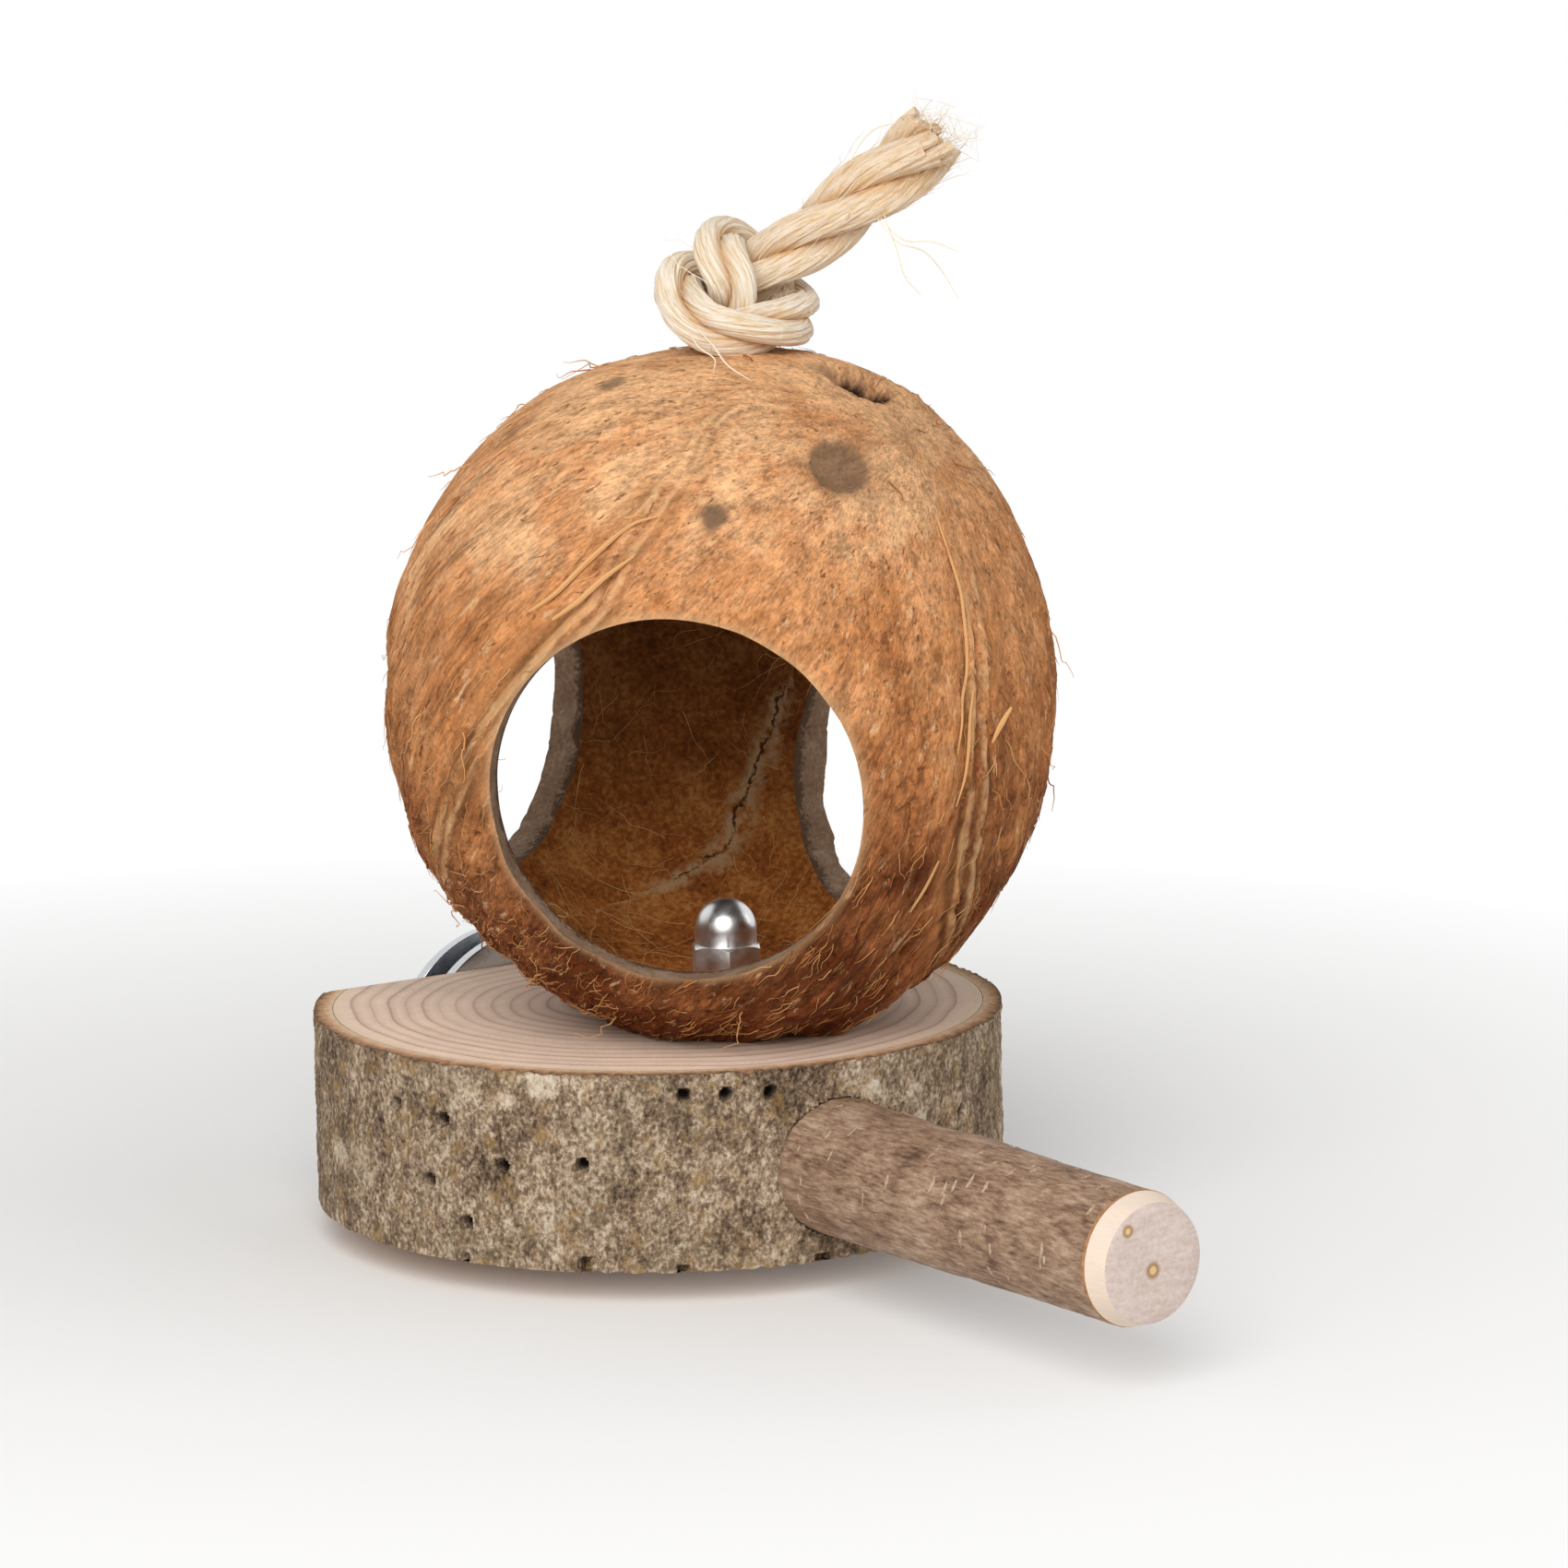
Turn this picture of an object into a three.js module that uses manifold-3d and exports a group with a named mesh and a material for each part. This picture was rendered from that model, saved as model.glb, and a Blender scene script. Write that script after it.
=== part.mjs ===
// Coconut bird house: a drilled coconut bolted to a log slice with a perch and a clamp at its back.
// Millimetres, +Z up. The front is -Y. The origin is on the hanger bolt's axis, at the rear face of
// the front clamp washer, which is the face that the clamp grips with.
import * as THREE from 'three';
import { mergeVertices } from 'three/addons/utils/BufferGeometryUtils.js';
import Module from 'manifold-3d';

const wasm = await Module();
wasm.setup();

// Fits
const SEAT_GAP = 0.3; // between pieces that lie on each other
const BORE_GAP = 0.3; // round a bolt or screw in its hole, per side

// Log slice: round in front, sawn straight at the back, with its bark on
const BOARD_RADIUS = 54; // from the pith to the outside of the bark
const BOARD_THICKNESS = 30;
const BOARD_BACK_DEPTH = 38.2; // from the pith to the straight back
const BARK_THICKNESS = 3;

// Coconut: a nut a little taller than wide, sanded flat underneath
const NEST_FORWARD = 18.6; // the nest bolt's axis, in front of the pith
const SHELL_RADIUS = 51;
const SHELL_RISE = 54; // half the height of the whole nut
const SHELL_FOOT_CUT = 3.1; // sanded off the nut's bottom
const SHELL_WALL = 4.6;
const SHELL_FLOOR = 4.5;

// Stem end of the nut, tipped towards the front: three eyes round an axis, and three sutures from it
const EYE_AXIS_TILT = 41; // degrees from upright
const EYE_AXIS_TURN = 15; // degrees from the front towards +X
// Degrees from the eye axis, and round it from the front suture
const CLOSED_EYES = [{ away: 15.5, round: 85 }, { away: 20, round: 265 }];
const OPEN_EYE = { away: 15.5, round: 195 };
const SUTURES = [0, 100, 235]; // degrees round the eye axis
const EYE_RADIUS = 4.6;
const EYE_DEPTH = 2;
const OPEN_EYE_RADIUS = 2.8;
const STEM_END_RISE = 1.6;
const STEM_END_WIDTH = 24; // degrees
const SUTURE_HEIGHT = 1;
const SUTURE_WIDTH = 4;
const NUT_TRIGON = 0.7; // how far the nut swells in three places round the eye axis and flattens between them
const COIR_BUNDLES = 24; // bundles of husk fibre round the nut
const COIR_RELIEF = 0.5; // of a bundle above the mean surface, and of the hollow beside it below
const COIR_SCRAPED_HEIGHT = 36; // above the nut's middle, from where the husk is scraped smooth

// Doorways, cut with a hole saw: turn in degrees from the front towards +X, height above the board
const DOOR_RADIUS = 27.5;
const DOORS = [
  { turn: -45, height: 41 },
  { turn: 91, height: 39.5 },
  { turn: -150, height: 49 },
];

// Nest bolt, its washer and its domed nut (M6)
const NEST_BOLT_RADIUS = 3;
const BOLT_HEAD_RADIUS = 8;
const BOLT_HEAD_HEIGHT = 3.5;
const BOLT_NECK_WIDTH = 6.4;
const BOLT_NECK_LENGTH = 4;
const NEST_WASHER_RADIUS = 6;
const NEST_WASHER_THICKNESS = 1.6;
const CAP_NUT_FLATS = 10;
const CAP_NUT_HEX_HEIGHT = 5;
const CAP_NUT_DOME_RADIUS = 4.75;
const CAP_NUT_HEIGHT = 12;
const CAP_NUT_CHAMFER = 0.7;
const CAP_NUT_THREAD_DEPTH = 8;

// Perch: a stick in its bark, screwed on a flat spot of the rim
const PERCH_RADIUS = 10.4;
const PERCH_END_RADIUS = 9.7;
const PERCH_REACH = 73.4; // in front of the flat spot
const PERCH_SIDE = -4.5; // its axis, towards +X from the nest bolt
const PERCH_DROP = 15.9; // its axis, below the board's top
const PERCH_CHAMFER_WIDTH = 1.2;
const PERCH_CHAMFER_LENGTH = 3.6;
const PERCH_BUTT_ROUND = 0.6;
const PERCH_SCREW_RADIUS = 3;
const PERCH_SCREW_IN_PERCH = 26;
const PERCH_SCREW_IN_BOARD = 20;
const PERCH_SCREW_TIP = 6;

// Clamp: hanger bolt, two large washers and a wing nut (M6)
const HANGER_RADIUS = 3;
const HANGER_IN_BOARD = 32;
const HANGER_TIP = 7;
const HANGER_SPARE = 1.5; // thread left behind the wing nut when the clamp is fully open
const CLAMP_WASHER_RADIUS = 20;
const CLAMP_WASHER_THICKNESS = 2;
const GRIP_GAP = 4.8; // between the washers
const CLAMP_OPENING = 10; // how far the rear washer can back off
const WING_HUB_RADIUS = 6.5;
const WING_HUB_TOP_RADIUS = 5;
const WING_HUB_HEIGHT = 8;
const WING_SPAN = 31;
const WING_RISE = 16; // from the nut's seat to the top of the wings
const WING_THICKNESS = 2.6;
const WING_LOBE_RADIUS = 5;
const WING_FOOT = 0.8; // from the nut's seat up to the wings' roots
const WING_NECK = 3; // of a wing's inner edge, from the nut's axis

// Rope: sisal, through the shell's top, with an overhand knot on top, a stop knot inside and a frayed tail
const ROPE_RADIUS = 3.3;
const ROPE_HOLE_GAP = 1.1; // round the rope in the shell's top
const FRAY_RADIUS = 7.2;
const FRAY_LENGTH = 35;
const FRAY_SWELL = 0.6; // power of the swelling: under 1, the tail swells at once
const ROPE_TURN = -36; // degrees, from +X, of the way that the tail leans
const KNOT_SEAT_DEPTH = 1.5; // of the dip in the shell's top
const KNOT_SEAT_WIDTH = 18;
const KNOT_LIFT = 1.3; // of the top knot's route, from the shell's top
const STOP_KNOT_DROP = 3.5; // of the stop knot's route, from the shell's inner top
const ROPE_STEP = 2.6;
const ROPE_SIDES = 10;
const LEAST_ROPE_LOOP = 14; // stretches of rope nearer than this along it aren't a crossing

// The overhand knot's route: along the tail's lean, across it away from the front, and up from the shell
const KNOT_ROUTE = [
  [0.4, -0.6, 0.6], [1.6, -2.2, 3.4], [3, -4.2, 6.4], [2.6, -5, 9.4], [0.8, -4.2, 12.4], [0, 0, 14.6],
  [1.8, 5.9, 14.6], [5.8, 9.5, 11.4], [10.3, 9, 7.6], [12.9, 4.8, 4.8], [12.8, -1, 3.3], [9.8, -6.6, 2.2],
  [4.2, -9.9, 1.9], [-1.8, -9.3, 2.6], [-5.9, -5.8, 5.4], [-7, -0.8, 9], [-4.9, 3, 9.6], [0.4, 3.7, 7.7],
  [5, 2.4, 9],
];
const TAIL_ROUTE = [[10, 1.6, 12.4], [15.6, 1.2, 16.4], [25, 1, 23.6], [34, 0.8, 30.6]];
const STOP_TAIL_ROUTE = [[9.6, 1.8, 11.4], [14, 1.4, 13.4]];

// Places worked out from the sizes
const boardTop = BOARD_THICKNESS / 2;
const boardBack = -CLAMP_WASHER_THICKNESS - SEAT_GAP;
const pithY = boardBack - BOARD_BACK_DEPTH;
const nestY = pithY - NEST_FORWARD;
const shellBottom = boardTop + SEAT_GAP;
const shellCentre = shellBottom + SHELL_RISE - SHELL_FOOT_CUT;
const shellFloor = shellBottom + SHELL_FLOOR;
const perchZ = boardTop - PERCH_DROP;
const rearWasherY = GRIP_GAP;
const wingNutY = rearWasherY + CLAMP_WASHER_THICKNESS + SEAT_GAP;

// Finishes
const finish = (color, roughness, metalness = 0) =>
  new THREE.MeshStandardMaterial({ color, roughness, metalness });
const COCONUT = 0xa9733f;
const SAWN_WOOD = 0xd9b48f;
const BARK = 0x7d6a58;
const PERCH_BARK = 0x7a6250;
const SISAL = 0xe6d3a8;
const STEEL = 0xc4c6c8;

// A closed geometry as a solid: shared vertices merged, slivers dropped, faces pointing out
function solid(geometry) {
  const bare = geometry.index ? geometry.toNonIndexed() : geometry.clone();
  bare.deleteAttribute('normal');
  bare.deleteAttribute('uv');
  const merged = mergeVertices(bare, 1e-4);
  const points = merged.attributes.position.array;
  const index = merged.index.array;
  const kept = [];
  let volume = 0;
  const [a, b, c] = [new THREE.Vector3(), new THREE.Vector3(), new THREE.Vector3()];
  for (let i = 0; i < index.length; i += 3) {
    const [p, q, r] = [index[i], index[i + 1], index[i + 2]];
    if (p === q || q === r || r === p) continue;
    kept.push(p, q, r);
    a.fromArray(points, 3 * p);
    b.fromArray(points, 3 * q);
    c.fromArray(points, 3 * r);
    volume += a.dot(b.cross(c));
  }
  if (volume < 0) kept.reverse();
  const mesh = new wasm.Mesh({
    numProp: 3,
    vertProperties: Float32Array.from(points),
    triVerts: Uint32Array.from(kept),
  });
  return new wasm.Manifold(mesh);
}

// A solid back as a geometry
function geometryOf(body) {
  const mesh = body.getMesh();
  const geometry = new THREE.BufferGeometry();
  geometry.setAttribute('position', new THREE.BufferAttribute(mesh.vertProperties, 3));
  geometry.setIndex(new THREE.BufferAttribute(mesh.triVerts, 1));
  geometry.computeVertexNormals();
  return geometry;
}

// A profile of [radius, height] pairs turned about Z
function turned(profile, sides) {
  const points = profile.map(([r, z]) => new THREE.Vector2(r, z));
  return new THREE.LatheGeometry(points, sides).rotateX(Math.PI / 2);
}

// A profile of [radius, depth] pairs turned about Y
function turnedAlongY(profile, sides) {
  const points = profile.map(([r, y]) => new THREE.Vector2(r, y));
  return new THREE.LatheGeometry(points, sides);
}

// A round rod from one point to another, as a cutter or a plain pin
function rod(from, to, radius, sides) {
  const axis = new THREE.Vector3().subVectors(to, from);
  const geometry = new THREE.CylinderGeometry(radius, radius, axis.length(), sides);
  geometry.applyQuaternion(
    new THREE.Quaternion().setFromUnitVectors(new THREE.Vector3(0, 1, 0), axis.clone().normalize()),
  );
  const middle = new THREE.Vector3().addVectors(from, to).multiplyScalar(0.5);
  return geometry.translate(middle.x, middle.y, middle.z);
}

// A ring such as a washer, about Y, from y = 0 backwards
function washerAlongY(outer, inner, thickness, sides) {
  const section = [[inner, 0], [outer, 0], [outer, thickness], [inner, thickness], [inner, 0]];
  return turnedAlongY(section, sides);
}

const vec = (x, y, z) => new THREE.Vector3(x, y, z);
const up = vec(0, 0, 1);
const radians = THREE.MathUtils.degToRad;

// The log slice's outline at a given radius, round in front and straight at the back
function roundFront(shape, radius, backwards = false) {
  const corner = Math.asin(BOARD_BACK_DEPTH / radius);
  const [left, right] = [Math.PI - corner, 2 * Math.PI + corner];
  if (backwards) shape.absarc(0, 0, radius, right, left, true);
  else shape.absarc(0, 0, radius, left, right, false);
  return shape;
}

function extrudedBoard(shape) {
  const geometry = new THREE.ExtrudeGeometry(shape, {
    depth: BOARD_THICKNESS,
    bevelEnabled: false,
    curveSegments: 60,
  });
  return geometry.translate(0, pithY, -BOARD_THICKNESS / 2);
}

// The flat spot on the rim is as deep as the rim falls away at the perch's far side
const perchFarSide = Math.abs(PERCH_SIDE) + PERCH_RADIUS + SEAT_GAP;
const perchSeatY = pithY - Math.sqrt(BOARD_RADIUS ** 2 - perchFarSide ** 2);

function perchSeatCut() {
  const front = vec(PERCH_SIDE, pithY - 2 * BOARD_RADIUS, perchZ);
  return solid(rod(front, vec(PERCH_SIDE, perchSeatY, perchZ), PERCH_RADIUS + SEAT_GAP, 32));
}

function perchScrewBore() {
  const front = vec(PERCH_SIDE, perchSeatY - BOARD_RADIUS, perchZ);
  const end = vec(PERCH_SIDE, perchSeatY + PERCH_SCREW_IN_BOARD + BORE_GAP, perchZ);
  return solid(rod(front, end, PERCH_SCREW_RADIUS + BORE_GAP, 16));
}

function boardCore() {
  const outline = roundFront(new THREE.Shape(), BOARD_RADIUS - BARK_THICKNESS - SEAT_GAP);
  const below = vec(0, nestY, -BOARD_THICKNESS);
  const boltBore = rod(below, vec(0, nestY, BOARD_THICKNESS), NEST_BOLT_RADIUS + BORE_GAP, 20);
  const neckWidth = BOLT_NECK_WIDTH + 2 * BORE_GAP;
  const neckDepth = BOLT_NECK_LENGTH + BORE_GAP;
  const neckPocket = new THREE.BoxGeometry(neckWidth, neckWidth, 2 * neckDepth);
  neckPocket.translate(0, nestY, -BOARD_THICKNESS / 2);
  const hangerEnd = vec(0, boardBack - HANGER_IN_BOARD - BORE_GAP, 0);
  const hangerBore = rod(hangerEnd, vec(0, BOARD_RADIUS, 0), HANGER_RADIUS + BORE_GAP, 20);
  return solid(extrudedBoard(outline))
    .subtract(solid(boltBore))
    .subtract(solid(neckPocket))
    .subtract(solid(hangerBore))
    .subtract(perchSeatCut())
    .subtract(perchScrewBore());
}

function boardBark() {
  const outline = roundFront(new THREE.Shape(), BOARD_RADIUS);
  roundFront(outline, BOARD_RADIUS - BARK_THICKNESS, true);
  outline.closePath();
  return solid(extrudedBoard(outline)).subtract(perchSeatCut()).subtract(perchScrewBore());
}

// Directions on the nut, by the angle from the eye axis and the turn about it from the front suture
const [tilt, turn] = [radians(EYE_AXIS_TILT), radians(EYE_AXIS_TURN)];
const eyeAxis = vec(Math.sin(tilt) * Math.sin(turn), -Math.sin(tilt) * Math.cos(turn), Math.cos(tilt));
const eyeDown = vec(Math.cos(tilt) * Math.sin(turn), -Math.cos(tilt) * Math.cos(turn), -Math.sin(tilt));
const eyeSide = new THREE.Vector3().crossVectors(eyeDown, eyeAxis);

function nutDirection(away, round) {
  return eyeAxis.clone().multiplyScalar(Math.cos(away))
    .addScaledVector(eyeDown, Math.sin(away) * Math.cos(round))
    .addScaledVector(eyeSide, Math.sin(away) * Math.sin(round));
}

// Distance from the nut's middle to an egg of the given half sizes
function eggRadius(direction, radius, rise) {
  const flat = (direction.x ** 2 + direction.y ** 2) / radius ** 2;
  return 1 / Math.sqrt(flat + direction.z ** 2 / rise ** 2);
}

const eyeDirection = ({ away, round }) => nutDirection(radians(away), radians(round));
const openEye = eyeDirection(OPEN_EYE);
const eyes = [openEye, ...CLOSED_EYES.map(eyeDirection)];
const bump = (distance, width) => Math.exp(-((distance / width) ** 2));

// The nut's outside: an egg with a raised stem end, sutures, fibre bundles, sunken eyes and the knot's seat
function nutSurfaceRadius(away, round) {
  const direction = nutDirection(away, round);
  const egg = eggRadius(direction, SHELL_RADIUS, SHELL_RISE);
  const along = Math.sin(away) ** 2;
  const shaggy = 1 - THREE.MathUtils.smoothstep(direction.z * egg, 0, COIR_SCRAPED_HEIGHT);
  let radius = egg + STEM_END_RISE * bump(away, radians(STEM_END_WIDTH));
  radius += NUT_TRIGON * along * Math.cos(3 * round);
  radius += COIR_RELIEF * along * shaggy * Math.cos(COIR_BUNDLES * round);
  for (const suture of SUTURES) {
    const offSuture = 2 * Math.asin(Math.sin((round - radians(suture)) / 2));
    radius += SUTURE_HEIGHT * along * bump(offSuture * egg * Math.sin(away), SUTURE_WIDTH);
  }
  radius -= KNOT_SEAT_DEPTH * bump(direction.angleTo(up) * SHELL_RISE, KNOT_SEAT_WIDTH);
  for (const eye of eyes) {
    radius -= EYE_DEPTH * bump(direction.angleTo(eye) * SHELL_RADIUS, EYE_RADIUS);
  }
  return radius;
}

// Rings close together at the stem end, in degrees, and spokes on each bundle's crest, flanks and hollow
const NUT_RINGS = [4, 8, 11, 14, 17, 20, 24, 29, 35, 42, 50, 58, 66, 74, 82, 91, 100, 110, 120, 131, 143, 155,
  167];
const SPOKES_PER_BUNDLE = 4;

function nutOutside() {
  const count = COIR_BUNDLES * SPOKES_PER_BUNDLE;
  const spokes = Array.from({ length: count }, (_, i) => (2 * Math.PI * i) / count);
  const at = (away, round) => nutDirection(away, round).multiplyScalar(nutSurfaceRadius(away, round));
  const points = [at(0, 0)];
  for (const ring of NUT_RINGS) points.push(...spokes.map((round) => at(radians(ring), round)));
  points.push(at(Math.PI, 0));
  const last = points.length - 1;
  const index = [];
  for (let i = 0; i < count; i++) {
    const next = (i + 1) % count;
    index.push(0, 1 + i, 1 + next);
    for (let ring = 0; ring < NUT_RINGS.length - 1; ring++) {
      const [near, far] = [1 + ring * count, 1 + (ring + 1) * count];
      index.push(near + i, far + i, far + next, near + i, far + next, near + next);
    }
    index.push(last, last - count + next, last - count + i);
  }
  const geometry = new THREE.BufferGeometry().setFromPoints(points);
  geometry.setIndex(index);
  return geometry.translate(0, nestY, shellCentre);
}

// A block from the given height upwards, wider than the nut, to trim things flat
function everythingAbove(height) {
  const size = 4 * SHELL_RADIUS + 4 * SHELL_RISE;
  return solid(new THREE.BoxGeometry(size, size, size).translate(0, nestY, height + size / 2));
}

function nutCavity() {
  const egg = new THREE.SphereGeometry(1, 36, 20).rotateX(Math.PI / 2);
  egg.scale(SHELL_RADIUS - SHELL_WALL, SHELL_RADIUS - SHELL_WALL, SHELL_RISE - SHELL_WALL);
  egg.translate(0, nestY, shellCentre);
  return solid(egg).intersect(everythingAbove(shellFloor));
}

function doorway({ turn: degrees, height }) {
  const outwards = vec(Math.sin(radians(degrees)), -Math.cos(radians(degrees)), 0);
  const inner = vec(0, nestY, boardTop + height);
  return solid(rod(inner, inner.clone().addScaledVector(outwards, 2 * SHELL_RADIUS), DOOR_RADIUS, 48));
}

function coconutShell() {
  const middle = vec(0, nestY, shellCentre);
  const under = vec(0, nestY, shellBottom - SHELL_FLOOR);
  const over = vec(0, nestY, shellCentre + 2 * SHELL_RISE);
  const eyeEnd = middle.clone().addScaledVector(openEye, 2 * SHELL_RISE);
  let shell = solid(nutOutside()).intersect(everythingAbove(shellBottom)).subtract(nutCavity());
  for (const door of DOORS) shell = shell.subtract(doorway(door));
  return shell
    .subtract(solid(rod(under, middle, NEST_BOLT_RADIUS + BORE_GAP, 20)))
    .subtract(solid(rod(middle, over, ROPE_RADIUS + ROPE_HOLE_GAP, 20)))
    .subtract(solid(rod(middle, eyeEnd, OPEN_EYE_RADIUS, 16)));
}

// Heights of the pieces stacked on the nest bolt
const nestWasherZ = shellFloor + SEAT_GAP;
const capNutZ = nestWasherZ + NEST_WASHER_THICKNESS + SEAT_GAP;
const nestBoltEnd = capNutZ + CAP_NUT_THREAD_DEPTH - BORE_GAP;
const boltHeadSeat = -BOARD_THICKNESS / 2 - SEAT_GAP;

function nestBolt() {
  const dome = [];
  const domeSteps = 6;
  for (let i = 0; i <= domeSteps; i++) {
    const angle = (Math.PI / 2) * (i / domeSteps);
    dome.push([BOLT_HEAD_RADIUS * Math.sin(angle), -BOLT_HEAD_HEIGHT * Math.cos(angle)]);
  }
  const length = nestBoltEnd - boltHeadSeat;
  const profile = [...dome, [NEST_BOLT_RADIUS, 0], [NEST_BOLT_RADIUS, length], [0, length]];
  const neckHeight = BOLT_NECK_LENGTH + BOLT_HEAD_HEIGHT / 2;
  const neck = new THREE.BoxGeometry(BOLT_NECK_WIDTH, BOLT_NECK_WIDTH, neckHeight);
  neck.translate(0, 0, BOLT_NECK_LENGTH - neckHeight / 2);
  return solid(turned(profile, 24)).add(solid(neck)).translate(0, nestY, boltHeadSeat);
}

function nestWasher() {
  const inner = NEST_BOLT_RADIUS + BORE_GAP;
  const ring = washerAlongY(NEST_WASHER_RADIUS, inner, NEST_WASHER_THICKNESS, 32);
  return solid(ring.rotateX(Math.PI / 2).translate(0, nestY, nestWasherZ));
}

function capNut() {
  const corner = CAP_NUT_FLATS / Math.sqrt(3);
  const hex = new THREE.CylinderGeometry(corner, corner, CAP_NUT_HEX_HEIGHT, 6).rotateX(Math.PI / 2);
  hex.translate(0, 0, CAP_NUT_HEX_HEIGHT / 2);
  const inside = corner - CAP_NUT_CHAMFER;
  const chamfer = [
    [0, 0], [inside, 0], [corner, CAP_NUT_CHAMFER], [corner, CAP_NUT_HEX_HEIGHT - CAP_NUT_CHAMFER],
    [inside, CAP_NUT_HEX_HEIGHT], [0, CAP_NUT_HEX_HEIGHT],
  ];
  const dome = [[0, CAP_NUT_HEX_HEIGHT / 2], [CAP_NUT_DOME_RADIUS, CAP_NUT_HEX_HEIGHT / 2]];
  const domeBase = CAP_NUT_HEIGHT - CAP_NUT_DOME_RADIUS;
  const domeSteps = 8;
  for (let i = 0; i <= domeSteps; i++) {
    const angle = (Math.PI / 2) * (i / domeSteps);
    dome.push([CAP_NUT_DOME_RADIUS * Math.cos(angle), domeBase + CAP_NUT_DOME_RADIUS * Math.sin(angle)]);
  }
  const below = vec(0, 0, -CAP_NUT_HEX_HEIGHT);
  const bore = rod(below, vec(0, 0, CAP_NUT_THREAD_DEPTH), NEST_BOLT_RADIUS + BORE_GAP, 20);
  return solid(hex).intersect(solid(turned(chamfer, 24)))
    .add(solid(turned(dome, 24)))
    .subtract(solid(bore))
    .translate(0, nestY, capNutZ);
}

// The perch and its screw run along -Y from the flat spot
const perchButtY = perchSeatY - SEAT_GAP;

function perch() {
  const bore = PERCH_SCREW_RADIUS + BORE_GAP;
  const boreDepth = PERCH_SCREW_IN_PERCH + BORE_GAP;
  const flat = PERCH_END_RADIUS - PERCH_CHAMFER_WIDTH;
  const profile = [
    [0, -boreDepth], [bore, -boreDepth], [bore, 0],
    [PERCH_RADIUS - PERCH_BUTT_ROUND, 0], [PERCH_RADIUS, -PERCH_BUTT_ROUND],
    [PERCH_END_RADIUS, PERCH_CHAMFER_LENGTH - PERCH_REACH], [flat, -PERCH_REACH], [0, -PERCH_REACH],
  ];
  return solid(turnedAlongY(profile, 36)).translate(PERCH_SIDE, perchButtY, perchZ);
}

function perchScrew() {
  const [front, back] = [-PERCH_SCREW_IN_PERCH, PERCH_SCREW_IN_BOARD];
  const profile = [
    [0, front], [PERCH_SCREW_RADIUS, front + PERCH_SCREW_TIP],
    [PERCH_SCREW_RADIUS, back - PERCH_SCREW_TIP], [0, back],
  ];
  return solid(turnedAlongY(profile, 16)).translate(PERCH_SIDE, perchButtY, perchZ);
}

// Clamp pieces, about the hanger bolt's axis along Y
const hangerEndY = wingNutY + WING_HUB_HEIGHT + CLAMP_OPENING + HANGER_SPARE;

function hangerBolt() {
  const tip = boardBack - HANGER_IN_BOARD;
  const profile = [
    [0, tip], [HANGER_RADIUS, tip + HANGER_TIP], [HANGER_RADIUS, hangerEndY], [0, hangerEndY],
  ];
  return solid(turnedAlongY(profile, 20));
}

function clampWasher(y) {
  const inner = HANGER_RADIUS + BORE_GAP;
  const ring = washerAlongY(CLAMP_WASHER_RADIUS, inner, CLAMP_WASHER_THICKNESS, 48);
  return solid(ring).translate(0, y, 0);
}

// One wing: a lobe at the end of an arm that rises out of the hub
function wing(side) {
  const tipX = WING_SPAN / 2 - WING_LOBE_RADIUS;
  const tipY = WING_RISE - WING_LOBE_RADIUS;
  const lean = Math.atan2(tipY, tipX);
  const outline = new THREE.Shape();
  outline.moveTo(0, WING_FOOT);
  outline.lineTo(WING_HUB_RADIUS, WING_FOOT);
  outline.absarc(tipX, tipY, WING_LOBE_RADIUS, lean - Math.PI / 2, lean + Math.PI / 2, false);
  outline.lineTo(WING_NECK, WING_HUB_HEIGHT - WING_FOOT);
  outline.lineTo(0, WING_HUB_HEIGHT - WING_FOOT);
  outline.closePath();
  const plate = new THREE.ExtrudeGeometry(outline, {
    depth: WING_THICKNESS,
    bevelEnabled: false,
    curveSegments: 12,
  });
  plate.translate(0, 0, -WING_THICKNESS / 2);
  if (side < 0) plate.rotateY(Math.PI);
  return solid(plate);
}

function wingNut() {
  const hub = [
    [0, 0], [WING_HUB_RADIUS, 0], [WING_HUB_TOP_RADIUS, WING_HUB_HEIGHT], [0, WING_HUB_HEIGHT],
  ];
  const bore = rod(vec(0, -WING_RISE, 0), vec(0, 2 * WING_RISE, 0), HANGER_RADIUS + BORE_GAP, 20);
  return solid(turnedAlongY(hub, 32)).add(wing(1)).add(wing(-1)).subtract(solid(bore))
    .translate(0, wingNutY, 0);
}

// The rope's route from its inner end to its frayed end. The stop knot is the top knot turned over.
function ropeCurve() {
  const outerSeat = shellCentre + nutSurfaceRadius(tilt, Math.PI) + KNOT_LIFT;
  const innerSeat = shellCentre + SHELL_RISE - SHELL_WALL - STOP_KNOT_DROP;
  const inside = [...KNOT_ROUTE, ...STOP_TAIL_ROUTE].map(([x, y, z]) => vec(x, y, innerSeat - z));
  const outside = [...KNOT_ROUTE, ...TAIL_ROUTE].map(([x, y, z]) => vec(x, y, outerSeat + z));
  const neck = vec(0, 0, (innerSeat + outerSeat) / 2);
  const points = [...inside.reverse(), neck, ...outside];
  for (const point of points) {
    point.applyAxisAngle(up, radians(ROPE_TURN));
    point.y += nestY;
  }
  return new THREE.CatmullRomCurve3(points, false, 'centripetal');
}

// The rope swells from its own radius to its frayed end
function ropeRadius(toEnd) {
  const frayed = Math.max(0, 1 - toEnd / FRAY_LENGTH);
  return ROPE_RADIUS + (FRAY_RADIUS - ROPE_RADIUS) * frayed ** FRAY_SWELL;
}

// The least gap between stretches of the rope that aren't neighbours along it
function leastRopeGap(points, radii, step) {
  let least = Infinity;
  const skip = Math.ceil(LEAST_ROPE_LOOP / step);
  for (let i = 0; i < points.length; i++) {
    for (let j = i + skip; j < points.length; j++) {
      least = Math.min(least, points[i].distanceTo(points[j]) - radii[i] - radii[j]);
    }
  }
  return least;
}

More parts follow.
